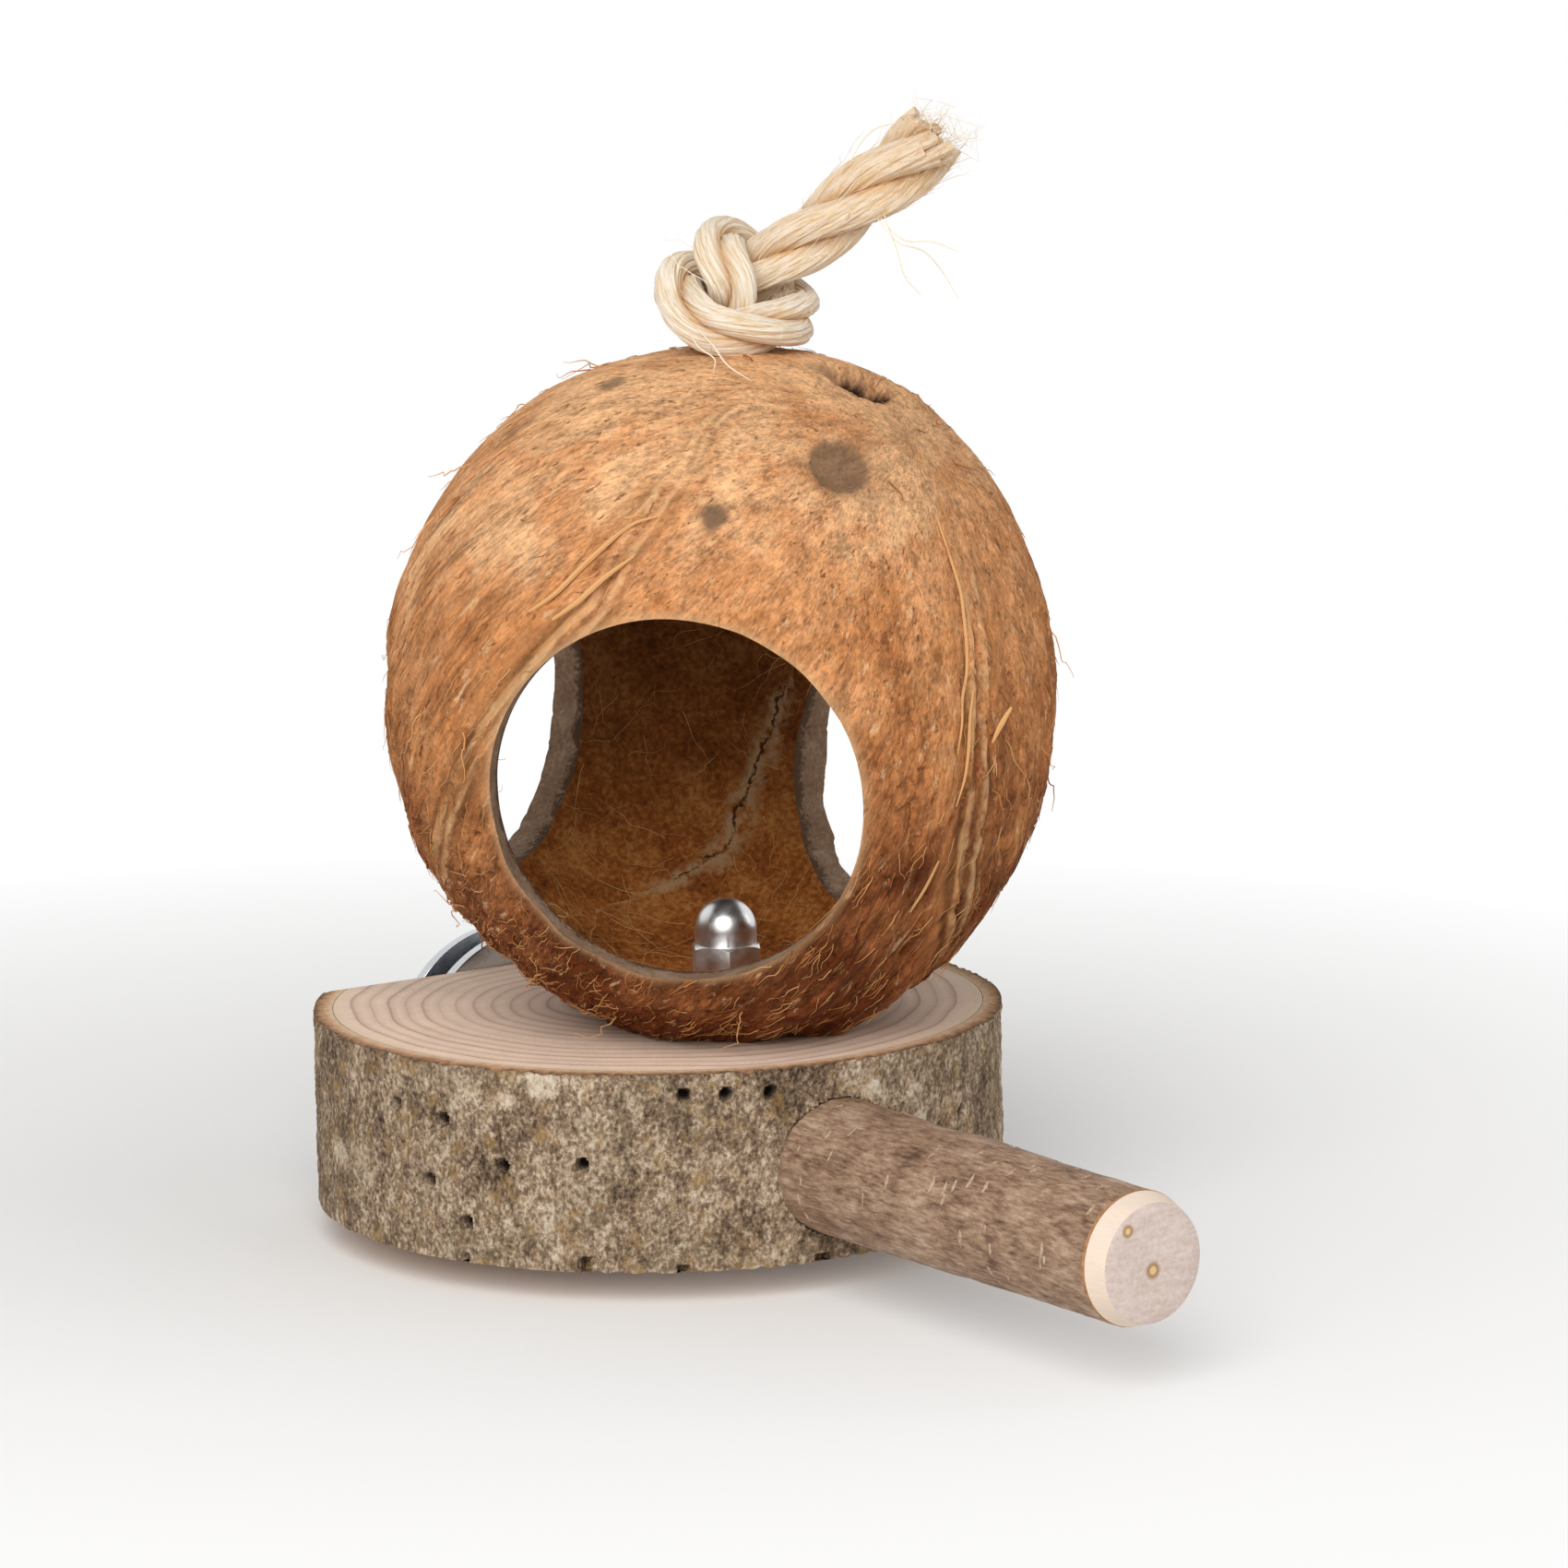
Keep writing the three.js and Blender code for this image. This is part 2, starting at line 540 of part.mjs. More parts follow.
// One unbroken tube: rings carried along the route without twisting, closed at both ends
function sisalRope() {
  const curve = ropeCurve();
  const length = curve.getLength();
  const steps = Math.round(length / ROPE_STEP);
  const centres = curve.getSpacedPoints(steps);
  const radii = centres.map((_, i) => ropeRadius(length * (1 - i / steps)));
  const gap = leastRopeGap(centres, radii, length / steps);
  console.log(`rope ${length.toFixed(1)} mm long, least gap to itself ${gap.toFixed(2)} mm`);
  const { normals, binormals } = curve.computeFrenetFrames(steps, false);
  const points = [centres[0], centres[steps]];
  const ringStart = points.length;
  for (let i = 0; i <= steps; i++) {
    for (let side = 0; side < ROPE_SIDES; side++) {
      const angle = (2 * Math.PI * side) / ROPE_SIDES;
      const point = centres[i].clone().addScaledVector(normals[i], radii[i] * Math.cos(angle));
      points.push(point.addScaledVector(binormals[i], radii[i] * Math.sin(angle)));
    }
  }
  const index = [];
  const lastRing = ringStart + steps * ROPE_SIDES;
  for (let side = 0; side < ROPE_SIDES; side++) {
    const next = (side + 1) % ROPE_SIDES;
    index.push(0, ringStart + next, ringStart + side, 1, lastRing + side, lastRing + next);
    for (let ring = ringStart; ring < lastRing; ring += ROPE_SIDES) {
      const over = ring + ROPE_SIDES;
      index.push(ring + side, ring + next, over + next, ring + side, over + next, over + side);
    }
  }
  const geometry = new THREE.BufferGeometry().setFromPoints(points);
  geometry.setIndex(index);
  return solid(geometry);
}

// The assembly
const birdHouse = new THREE.Group();

function addPiece(name, body, material) {
  const mesh = new THREE.Mesh(geometryOf(body), material);
  mesh.name = name;
  birdHouse.add(mesh);
}

addPiece('coconut_shell', coconutShell(), finish(COCONUT, 0.85));
addPiece('sisal_rope', sisalRope(), finish(SISAL, 0.95));
addPiece('board_core', boardCore(), finish(SAWN_WOOD, 0.8));
addPiece('board_bark', boardBark(), finish(BARK, 0.95));
addPiece('perch', perch(), finish(PERCH_BARK, 0.75));
addPiece('perch_screw', perchScrew(), finish(STEEL, 0.35, 1));
addPiece('nest_bolt', nestBolt(), finish(STEEL, 0.3, 1));
addPiece('nest_washer', nestWasher(), finish(STEEL, 0.3, 1));
addPiece('nest_cap_nut', capNut(), finish(STEEL, 0.2, 1));
addPiece('hanger_bolt', hangerBolt(), finish(STEEL, 0.35, 1));
addPiece('clamp_washer_front', clampWasher(-CLAMP_WASHER_THICKNESS), finish(STEEL, 0.3, 1));
addPiece('clamp_washer_rear', clampWasher(rearWasherY), finish(STEEL, 0.3, 1));
addPiece('wing_nut', wingNut(), finish(STEEL, 0.35, 1));

export default birdHouse;
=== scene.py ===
"""Coconut bird house: a drilled coconut on a log slice, with a perch, a sisal rope and a washer clamp."""

import math

import bmesh
import bpy
import numpy as np
from bpy.props import FloatProperty, FloatVectorProperty, IntProperty, PointerProperty
from mathutils import Matrix, Vector, noise


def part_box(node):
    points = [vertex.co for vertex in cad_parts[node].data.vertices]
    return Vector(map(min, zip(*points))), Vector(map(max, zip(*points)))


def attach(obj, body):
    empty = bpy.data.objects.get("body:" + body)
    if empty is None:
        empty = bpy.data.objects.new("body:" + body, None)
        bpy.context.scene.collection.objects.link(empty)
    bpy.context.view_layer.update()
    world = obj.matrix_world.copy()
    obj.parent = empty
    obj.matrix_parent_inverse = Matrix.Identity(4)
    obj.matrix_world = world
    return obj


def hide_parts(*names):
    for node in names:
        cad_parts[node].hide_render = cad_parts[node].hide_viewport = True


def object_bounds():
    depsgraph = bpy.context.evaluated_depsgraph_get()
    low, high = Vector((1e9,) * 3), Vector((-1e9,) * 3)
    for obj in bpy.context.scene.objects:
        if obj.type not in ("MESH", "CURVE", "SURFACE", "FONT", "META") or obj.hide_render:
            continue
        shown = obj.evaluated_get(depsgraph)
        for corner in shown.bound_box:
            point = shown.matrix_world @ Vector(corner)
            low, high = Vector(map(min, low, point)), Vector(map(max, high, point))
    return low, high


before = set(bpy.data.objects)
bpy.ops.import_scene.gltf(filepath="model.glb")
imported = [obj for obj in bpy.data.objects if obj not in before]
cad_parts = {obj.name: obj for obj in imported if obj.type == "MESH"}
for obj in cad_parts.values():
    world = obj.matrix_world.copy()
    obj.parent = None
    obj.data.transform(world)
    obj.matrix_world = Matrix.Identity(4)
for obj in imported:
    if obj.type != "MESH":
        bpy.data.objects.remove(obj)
cad_low, cad_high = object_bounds()

bl_info = {
    "name": "Coconut Bird House",
    "version": (1, 0, 0),
    "blender": (4, 5, 0),
    "location": "View3D > Sidebar > Bird House",
    "description": "Builds a coconut bird house on a log slice, piece by piece",
    "category": "Add Mesh",
}

MM = 0.001
UP = np.array([0, 0, 1.0])
BACK = np.array([0, 1.0, 0])

# Places in the frame
washer_low, washer_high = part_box("nest_washer")
core_low, core_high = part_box("board_core")
SHELL_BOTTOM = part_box("coconut_shell")[0].z
perch_low, perch_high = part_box("perch")
NEST_X, NEST_Y, _ = (washer_low + washer_high) / 2
BOARD_BOTTOM, BOARD_TOP, BOARD_BACK = core_low.z, core_high.z, core_high.y
PERCH_X, _, PERCH_Z = (perch_low + perch_high) / 2
PERCH_BUTT, PERCH_TIP = perch_high.y, perch_low.y

# The nut's stem end: an axis tipped towards the front, with eyes round it and sutures from it
EYE_AXIS_TILT = math.radians(41)
EYE_AXIS_TURN = math.radians(15)
STEM_END_WIDTH = math.radians(24)
STEM_END_RISE = 1.6 * MM
LEVEL = np.array([math.sin(EYE_AXIS_TURN), -math.cos(EYE_AXIS_TURN), 0])
EYE_AXIS = LEVEL * math.sin(EYE_AXIS_TILT) + UP * math.cos(EYE_AXIS_TILT)
EYE_DOWN = LEVEL * math.cos(EYE_AXIS_TILT) - UP * math.sin(EYE_AXIS_TILT)
EYE_SIDE = np.cross(EYE_DOWN, EYE_AXIS)
# Eyes: degrees from the axis, degrees round it from the front suture, and how dark. The first is open.
EYE_PLACES = [(15.5, 195, 0.45), (15.5, 85, 0.78), (20, 265, 0.3)]
EYE_DEPTH = 1.9 * MM
# The solid's eyes are plain dips with a depth of their own
SOLID_EYE_DEPTH = 2 * MM
OPEN_EYE_MOUTH_DEPTH = 3.8 * MM
# Sutures: degrees round the axis of their broad ridges
SUTURE_RIDGES = [0, 100, 235]
SUTURE_HEIGHT = 1.0 * MM
SUTURE_WIDTH = 4 * MM
# Torn strands of the sutures: a course of degrees from the axis and degrees round it, and a strength
SUTURE_STRANDS = [
    ((0, 25, 55, 78, 96), (4, 6, 6, 2, -5), 1.0), ((27, 38, 47, 63), (133, 109, 101, 92), 0.8),
    ((0, 90), (235, 240), 0.5),
]
# Cords and grooves in a suture's strands: place across it and height, in mm
SUTURE_CORDS = [(-2.8, -0.4), (-1.9, 0.35), (-0.4, -0.45), (0.9, 0.6), (2.1, -0.4)]
# How far the nut swells in three places round the axis
NUT_TRIGON = 0.7 * MM

# Doorways: turn in degrees from the front towards +X, and height above the board in mm
DOORS = [(-45, 41), (91, 39.5), (-150, 49)]
# How near a doorway's edge the husk lies smoother, and how wide its pale rim is
DOOR_SMOOTH_WIDTH = 5 * MM
DOOR_RIM_WIDTH = 0.9 * MM

# The rope's route in metres: along the tail's lean, across it away from the front, and up from the shell
KNOT_ROUTE = [
    (0.0004, -0.0006, 0.0006), (0.0016, -0.0022, 0.0034), (0.003, -0.0042, 0.0064), (0.0026, -0.005, 0.0094),
    (0.0008, -0.0042, 0.0124), (0, 0, 0.0146), (0.0018, 0.0059, 0.0146), (0.0058, 0.0095, 0.0114),
    (0.0103, 0.009, 0.0076), (0.0129, 0.0048, 0.0048), (0.0128, -0.001, 0.0033), (0.0098, -0.0066, 0.0022),
    (0.0042, -0.0099, 0.0019), (-0.0018, -0.0093, 0.0026), (-0.0059, -0.0058, 0.0054),
    (-0.007, -0.0008, 0.009), (-0.0049, 0.003, 0.0096), (0.0004, 0.0037, 0.0077), (0.005, 0.0024, 0.009),
]
TAIL_ROUTE = [
    (0.01, 0.0016, 0.0124), (0.0156, 0.0012, 0.0164), (0.025, 0.001, 0.0236), (0.034, 0.0008, 0.0306),
]
STOP_TAIL_ROUTE = [(0.0096, 0.0018, 0.0114), (0.014, 0.0014, 0.0134)]
ROPE_TURN = math.radians(-36)
# Shares of the route's sizes that are left when the knot is pulled tight
KNOT_PULL = np.array([0.88, 0.88, 0.95])
KNOT_LIFT = 1.3 * MM
KNOT_SEAT_WIDTH = 18 * MM
STOP_KNOT_DROP = 3.5 * MM
ROPE_STEP = 0.9 * MM

# Stains on the nut: place in mm from its middle, radius in mm and strength
STAINS = [
    ((-25.2, -34, 31.6), 2.3, 0.85), ((-22.5, -3.5, 49.6), 2.4, 0.7), ((-31, 6, 38), 1.6, 0.35),
    ((20, 38, 26), 2.6, 0.6), ((38, 4, 34), 1.8, 0.5),
]
# Line of dried flesh on the inner wall, in mm from the nut's middle
RESIDUE = [
    (33.8, 30.8, -8.4), (31.5, 31.4, -14.2), (27.7, 31.4, -21.4), (21.4, 29.2, -30.9), (9.6, 30.5, -35.8),
]
# Thick loose fibres, in mm from the nut's middle
STRAYS = [
    [(-46.6, -16, 17), (-43.9, -20.4, 20.4), (-40.2, -23.4, 25), (-34.6, -27, 30.4), (-31.6, -28.8, 31.4)],
    [(-45.4, -22, 17), (-42.8, -24.6, 19.6), (-39.4, -26.6, 23), (-35.6, -28.6, 26)],
    [(13, -54.2, 2.4), (12.2, -53.8, 1), (11.4, -53.2, -0.8), (10.7, -52.6, -2.8)],
]
# Fibres along the right suture: turn in degrees from the front towards +X, and height in mm from the middle
SUTURE_FIBRES = [
    [(9.8, 29), (9.9, 18), (8.9, 9), (7.1, 1), (5.8, -7.5)], [(9.6, 5), (8.7, -0.5), (8.2, -6.5), (7, -12)],
    [(5.4, -20), (4.6, -23.7), (2.4, -27.8)],
]
STRAY_RADIUS = 0.42 * MM
SUTURE_FIBRE_RADIUS = 0.26 * MM
SUTURE_FIBRE_LIFT = 0.3 * MM
STRAY_STEP = 0.8 * MM
# Loose rope hairs: along the tail's lean, across it and up from the shell, in mm
ROPE_STRAY_RADIUS = 0.13 * MM
ROPE_STRAYS = [
    [(24, -3, 18), (27, -4.5, 14.5), (31, -4, 13), (34, -3, 9.5), (36, -3.5, 6)],
    [(24.5, -3.4, 18), (28, -5, 14.8), (32, -5.4, 14.6), (36, -4.6, 13)],
    [(25, -3, 18.6), (27, -4.6, 13), (28, -5, 9.5), (30.5, -4.4, 6.4)],
    [(27, 1, 32), (23.5, 0, 31), (20.6, -0.5, 27.4), (19.4, -0.5, 23.4)],
    [(-3, -11.5, 2.4), (-0.6, -16.5, 0.2), (1.6, -20.5, -2.4), (5, -23.6, -4.4)],
    [(-4.4, -10.4, 2), (-2.6, -15.4, -0.2), (-0.4, -18, -1.6), (-0.6, -21, -3.4)],
]

# Worm holes in the bark: turn in degrees from the front towards +X, and height in mm
WORM_HOLES = [
    (-81.9, 7.3), (-71.5, 6.3), (-30.7, 11.8), (-24, 11.7), (-74.5, -3.2), (-60.3, 0.3), (-46.9, 1.4),
    (-67, -8.9), (-16.8, 11.5), (23.8, 2.9), (58, -6), (71, 8), (96, 1), (118, -9), (-112, 5), (-124, -7),
]
WORM_HOLE_RADIUS, WORM_HOLE_DEPTH = 0.95, 2.2
# Pale patches on the bark: turn in degrees, height and radius in mm
PALE_PATCHES = [(-53, 13.6, 3.2), (-59.5, 10, 2.2), (1.2, 10.4, 2), (48, 4, 3), (88, -4, 3.5), (-100, -3, 3)]
# Chips out of the bark's lower edge: turn in degrees, half the width and height in mm
CHIPS = [
    (-46.6, 0.7, 1.9), (-67.7, 0.6, 1), (-31.3, 0.8, 0.8), (-8, 1.2, 0.9), (35, 0.9, 1.2), (80, 0.8, 1.5),
]
CHIP_DEPTH = 2.0

# The camera, fitted to the round edges of the board
CAMERA_PLACE = Vector((-443.4, -685.0, 178.6)) * MM
CAMERA_RIGHT = Vector((0.808, -0.5891, -0.0101))
CAMERA_UP = Vector((0.1043, 0.1261, 0.9865))
# Lamps: places from the object's middle, and widths, in metres
KEY_PLACE, KEY_WIDTH = Vector((-0.66, -0.62, 0.62)), 0.9
FILL_PLACE, FILL_WIDTH = Vector((0.75, -0.45, 0.3)), 0.6


def linear(code):
    """An sRGB hex colour as linear red, green, blue and alpha."""
    shares = [int(code[i:i + 2], 16) / 255 for i in (1, 3, 5)]
    return [s / 12.92 if s <= 0.04045 else ((s + 0.055) / 1.055) ** 2.4 for s in shares] + [1.0]


def length(name, millimetres, description):
    return FloatProperty(
        name=name, description=description, default=millimetres * MM, min=0, precision=4,
        subtype="DISTANCE", unit="LENGTH",
    )


def amount(name, number, description, unit="NONE"):
    return FloatProperty(name=name, description=description, default=number, min=0, unit=unit)


def count(name, number, description, least):
    return IntProperty(name=name, description=description, default=number, min=least)


def colour(name, code, description):
    return FloatVectorProperty(
        name=name, description=description, default=linear(code), size=4, min=0, max=1, subtype="COLOR",
    )


class CoconutSettings(bpy.types.PropertyGroup):
    """Sizes and colours of the drilled coconut"""

    radius: length("Radius", 51, "Half the nut's width")
    rise: length("Rise", 54, "Half the whole nut's height")
    foot_cut: length("Foot cut", 3.1, "Sanded off the nut's bottom")
    wall: length("Wall", 4.6, "Thickness of the shell")
    floor: length("Floor", 4.5, "Thickness of the shell over its foot")
    door_radius: length("Door radius", 27.5, "Radius of the three doorways")
    eye_radius: length("Eye radius", 4.6, "Radius of the sunken eyes")
    open_eye_radius: length("Open eye radius", 2.8, "Radius of the eye that goes through")
    knot_seat: length("Knot seat", 1.5, "Depth of the dip under the rope's knot")
    bundles: count("Bundles", 24, "Bundles of husk fibre round the nut", 3)
    bundle_relief: length("Bundle relief", 0.5, "Height of a bundle above the mean surface")
    scraped_height: length("Scraped height", 36, "Height above the middle from where the husk is smooth")
    tan: colour("Tan", "#E2AE7E", "Scraped husk near the top")
    brown: colour("Brown", "#BC7E4D", "Husk at mid height")
    russet: colour("Russet", "#6B3514", "Uncombed husk near the foot")
    fibre: colour("Fibre", "#B97B43", "Loose coir fibres")
    inside: colour("Inside", "#8A4F20", "Inner face of the shell")
    cut: colour("Cut", "#96785F", "Sawn edge of the shell")


class RopeSettings(bpy.types.PropertyGroup):
    """Sizes and colours of the sisal rope"""

    radius: length("Radius", 4.15, "Half the laid rope's thickness")
    end_radius: length("End radius", 6.1, "Half the thickness of the loosened end")
    hole_radius: length("Hole radius", 4.4, "Radius of the hole in the shell's top")
    lay: length("Lay", 46, "Length of one turn of the strands")
    yarn_lay: length("Yarn lay", 70, "Length of one turn of the yarns in a strand")
    fray: length("Fray", 42, "Length of the loosened tail")
    strands: count("Strands", 3, "Strands in the rope", 2)
    yarns: count("Yarns", 12, "Yarns in a strand, one of them in its middle", 3)
    cream: colour("Cream", "#F1E6D6", "Sisal in the light")
    straw: colour("Straw", "#CFA067", "Sisal between the yarns")


class SliceSettings(bpy.types.PropertyGroup):
    """Sizes and colours of the log slice"""

    radius: length("Radius", 54, "From the pith to the outside of the bark")
    back_depth: length("Back depth", 38.2, "From the pith to the straight back")
    bark: length("Bark", 3, "Thickness of the bark")
    ring: length("Ring", 2.9, "Width of a year's growth")
    edge: length("Edge", 0.45, "Rounding of the sanded edges")
    early_wood: colour("Early wood", "#EED3BD", "Pale wood of a ring")
    late_wood: colour("Late wood", "#B08D78", "Dark line of a ring")
    bast: colour("Bast", "#DAB28C", "Inner bark at the sawn rim")
    bark_mid: colour("Bark", "#8F7962", "Bark's middle tone")
    bark_dark: colour("Bark shade", "#3D2F27", "Bark's hollows")
    lichen: colour("Lichen", "#D6C7B1", "Pale specks on the bark")


class PerchSettings(bpy.types.PropertyGroup):
    """Sizes and colours of the stick perch"""

    radius: length("Radius", 10.4, "Radius at the butt")
    end_radius: length("End radius", 9.7, "Radius behind the chamfer")
    chamfer_width: length("Chamfer width", 1.2, "How far the chamfer comes in")
    chamfer_length: length("Chamfer length", 3.6, "How far the chamfer runs along the stick")
    bark: colour("Bark", "#8B6E59", "Smooth young bark")
    bark_shade: colour("Bark shade", "#5C4638", "Darker streaks of the bark")
    lenticel: colour("Lenticel", "#C0A88E", "Pale pores across the bark")
    sapwood: colour("Sapwood", "#DFCFC1", "Whittled chamfer")
    end_grain: colour("End grain", "#DACAC2", "Sawn end")


class FixingSettings(bpy.types.PropertyGroup):
    """Sizes and colours of the bolts, nuts and washers"""

    thread_radius: length("Thread radius", 3, "Half the M6 thread's diameter")
    bore_gap: length("Bore gap", 0.3, "Gap round a bolt in its hole")
    pitch: length("Pitch", 1, "Pitch of the M6 thread")
    wood_pitch: length("Wood pitch", 2.6, "Pitch of the wood screw threads")
    edge: length("Edge", 0.25, "Rounding of the washers' edges")
    zinc: colour("Zinc", "#CBCED1", "Zinc-plated steel")
    polish: colour("Polish", "#EAE9E7", "Polished steel")


class StageSettings(bpy.types.PropertyGroup):
    """Camera, light and floor"""

    lens: amount("Lens", 116.67, "Focal length on a 36 mm sensor", "CAMERA")
    world: amount("World", 0.46, "Strength of the soft light all round")
    key: amount("Key", 10.0, "Power of the large lamp", "POWER")
    fill: amount("Fill", 0.8, "Power of the lamp on the right", "POWER")
    floor: colour("Floor", "#F4F3F1", "Pale floor")


# Mesh tools


def grid_faces(rows, columns, wrap=False):
    """Quads between neighbours in a grid of points; wrap joins each row's end to its start."""
    row, column = np.meshgrid(np.arange(rows - 1), np.arange(columns if wrap else columns - 1), indexing="ij")
    after = (column + 1) % columns
    corners = (row, column), (row + 1, column), (row + 1, after), (row, after)
    return np.stack([(r * columns + c).ravel() for r, c in corners], axis=1)


def smooth_noise(points, octaves=2):
    """Noise of about -1 to 1 at points given in units of the noise's own size."""
    flat = np.asarray(points).reshape(-1, 3).tolist()
    heights = [noise.fractal(point, 1.0, 2.0, octaves) for point in flat]
    return np.array(heights).reshape(np.shape(points)[:-1])


def bump(distance, width):
    return np.exp(-(distance / width) ** 2)


def fade(value, start, end):
    """0 at start, 1 at end and smooth between them."""
    share = np.clip((value - start) / (end - start), 0, 1)
    return share * share * (3 - 2 * share)


def units(vectors):
    return vectors / np.linalg.norm(vectors, axis=-1, keepdims=True)


def new_piece(name, points, faces, *materials, finish=None, crease=40, merge=True):
    """An object at the origin, its place in its mesh, smooth but for edges sharper than crease degrees."""
    mesh = bpy.data.meshes.new(name)
    mesh.from_pydata(np.asarray(points).tolist(), [], [list(map(int, face)) for face in faces])
    for material in materials:
        mesh.materials.append(material)
    if finish is not None:
        mesh.polygons.foreach_set("material_index", np.asarray(finish, dtype=np.int32))
    if merge:
        work = bmesh.new()
        work.from_mesh(mesh)
        bmesh.ops.remove_doubles(work, verts=work.verts, dist=0.002 * MM)
        bmesh.ops.recalc_face_normals(work, faces=work.faces)
        work.to_mesh(mesh)
        work.free()
    mesh.shade_smooth()
    mesh.set_sharp_from_angle(angle=math.radians(crease))
    piece = bpy.data.objects.new(name, mesh)
    bpy.context.scene.collection.objects.link(piece)
    return piece


def bake(piece, crease=40):
    """Turns a piece and its modifiers into a plain mesh."""
    graph = bpy.context.evaluated_depsgraph_get()
    mesh = bpy.data.meshes.new_from_object(
        piece.evaluated_get(graph), preserve_all_data_layers=True, depsgraph=graph
    )
    piece.modifiers.clear()
    piece.data = mesh
    mesh.shade_smooth()
    mesh.set_sharp_from_angle(angle=math.radians(crease))
    if not mesh.polygons:
        raise RuntimeError(f"{piece.name} came out empty")
    return piece


def carve(piece, cutters, operation="DIFFERENCE", crease=40):
    """Cuts the cutters out of a piece one by one, or joins or shares with them, and deletes them."""
    for cutter in cutters:
        modifier = piece.modifiers.new("carve", "BOOLEAN")
        modifier.operation = operation
        modifier.solver = "MANIFOLD"
        modifier.object = cutter
        bake(piece, crease)
        bpy.data.objects.remove(cutter)
    return piece


def bevel(piece, width, least_angle, crease=40):
    """Rounds a piece's edges where they are sharper than an angle in degrees."""
    modifier = piece.modifiers.new("rounded edges", "BEVEL")
    modifier.width = width
    modifier.segments = 2
    modifier.limit_method = "ANGLE"
    modifier.angle_limit = math.radians(least_angle)
    return bake(piece, crease)


def turned(profile, sides, start, axis):
    """Points and faces of a profile of (radius, distance along the axis) pairs, turned about an axis."""
    across = units(np.cross(axis, UP if abs(axis[2]) < 0.9 else BACK))
    angle = np.linspace(0, 2 * math.pi, sides, endpoint=False)
    spokes = np.outer(np.cos(angle), across) + np.outer(np.sin(angle), np.cross(axis, across))
    rings = [np.asarray(start) + np.asarray(axis) * d + spokes * np.reshape(r, (-1, 1)) for r, d in profile]
    return np.concatenate(rings), grid_faces(len(profile), sides, wrap=True)


def rod(name, start, axis, span, radius, sides, *materials, finish=0):
    """A plain round rod, to cut with."""
    points, faces = turned([(0, 0), (radius, 0), (radius, span), (0, span)], sides, start, axis)
    return new_piece(name, points, faces, *materials, finish=[finish] * len(faces))


def block(name, low, high, *materials, finish=0):
    """A plain block, to cut with."""
    corners = [(x, y, z) for x in (low[0], high[0]) for y in (low[1], high[1]) for z in (low[2], high[2])]
    faces = [(0, 1, 3, 2), (4, 6, 7, 5), (0, 4, 5, 1), (2, 3, 7, 6), (0, 2, 6, 4), (1, 5, 7, 3)]
    return new_piece(name, corners, faces, *materials, finish=[finish] * len(faces))


def store(mesh, **values):
    """Keeps numbers or vectors for the points of a mesh under names that nodes can read."""
    for name, numbers in values.items():
        numbers = np.asarray(numbers, dtype=np.float32)
        vectors = numbers.ndim == 2
        attribute = mesh.attributes.new(name, "FLOAT_VECTOR" if vectors else "FLOAT", "POINT")
        attribute.data.foreach_set("vector" if vectors else "value", numbers.ravel())


def faces_with(piece, name, finish):
    """A copy of a piece's mesh with only the faces of one finish."""
    work = bmesh.new()
    work.from_mesh(piece.data)
    others = [face for face in work.faces if face.material_index != finish]
    bmesh.ops.delete(work, geom=others, context="FACES")
    mesh = bpy.data.meshes.new(name)
    work.to_mesh(mesh)
    work.free()
    return mesh


def smooth_route(points, step):
    """Evenly spaced points on a smooth curve that passes through the given points."""
    points = np.asarray(points, float)
    points = np.vstack([2 * points[0] - points[1], points, 2 * points[-1] - points[-2]])
    dense = []
    share = np.linspace(0, 1, 24, endpoint=False)[:, None]
    for a, b, c, d in zip(points, points[1:], points[2:], points[3:]):
        ab, bc, cd = [math.sqrt(np.linalg.norm(q - p)) for p, q in ((a, b), (b, c), (c, d))]
        leave = bc * ((b - a) / ab - (c - a) / (ab + bc) + (c - b) / bc)
        arrive = bc * ((c - b) / bc - (d - b) / (bc + cd) + (d - c) / cd)
        square = -3 * b + 3 * c - 2 * leave - arrive
        cube = 2 * b - 2 * c + leave + arrive
        dense.append(b + leave * share + square * share ** 2 + cube * share ** 3)
    dense = np.vstack([*dense, points[-2]])
    along = np.concatenate([[0], np.cumsum(np.linalg.norm(np.diff(dense, axis=0), axis=1))])
    even = np.linspace(0, along[-1], round(along[-1] / step) + 1)
    return np.stack([np.interp(even, along, dense[:, i]) for i in range(3)], axis=1)


def route_frames(route):
    """Unit directions along a route, and two across it that don't twist."""
    ahead = units(np.gradient(route, axis=0))
    side = [units(np.cross(ahead[0], BACK if abs(ahead[0][1]) < 0.9 else UP))]
    for direction in ahead[1:]:
        side.append(units(side[-1] - direction * (side[-1] @ direction)))
    side = np.array(side)
    return ahead, side, np.cross(ahead, side)


def tubes(name, routes, radii, material):
    """Thin tapered tubes along routes, each with its radius, as one piece."""
    points, faces, sides = [], [], 6
    angle = np.linspace(0, 2 * math.pi, sides, endpoint=False)[:, None]
    for route, radius in zip(routes, radii):
        _, side, over = route_frames(route)
        thick = radius * np.sin(np.linspace(0.5, math.pi - 0.35, len(route)))[:, None, None]
        rings = route[:, None] + thick * (np.cos(angle) * side[:, None] + np.sin(angle) * over[:, None])
        first = sum(map(len, points))
        points.append(rings.reshape(-1, 3))
        faces += (grid_faces(len(route), sides, wrap=True) + first).tolist()
    return new_piece(name, np.concatenate(points), faces, material, merge=False)


def hand_in(piece, body, slot, *nodes):
    """Lets a piece ride on its body, in place of the given nodes, which it hides. The slot is not used."""
    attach(piece, body)
    if nodes:
        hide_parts(*nodes)


# Node tools


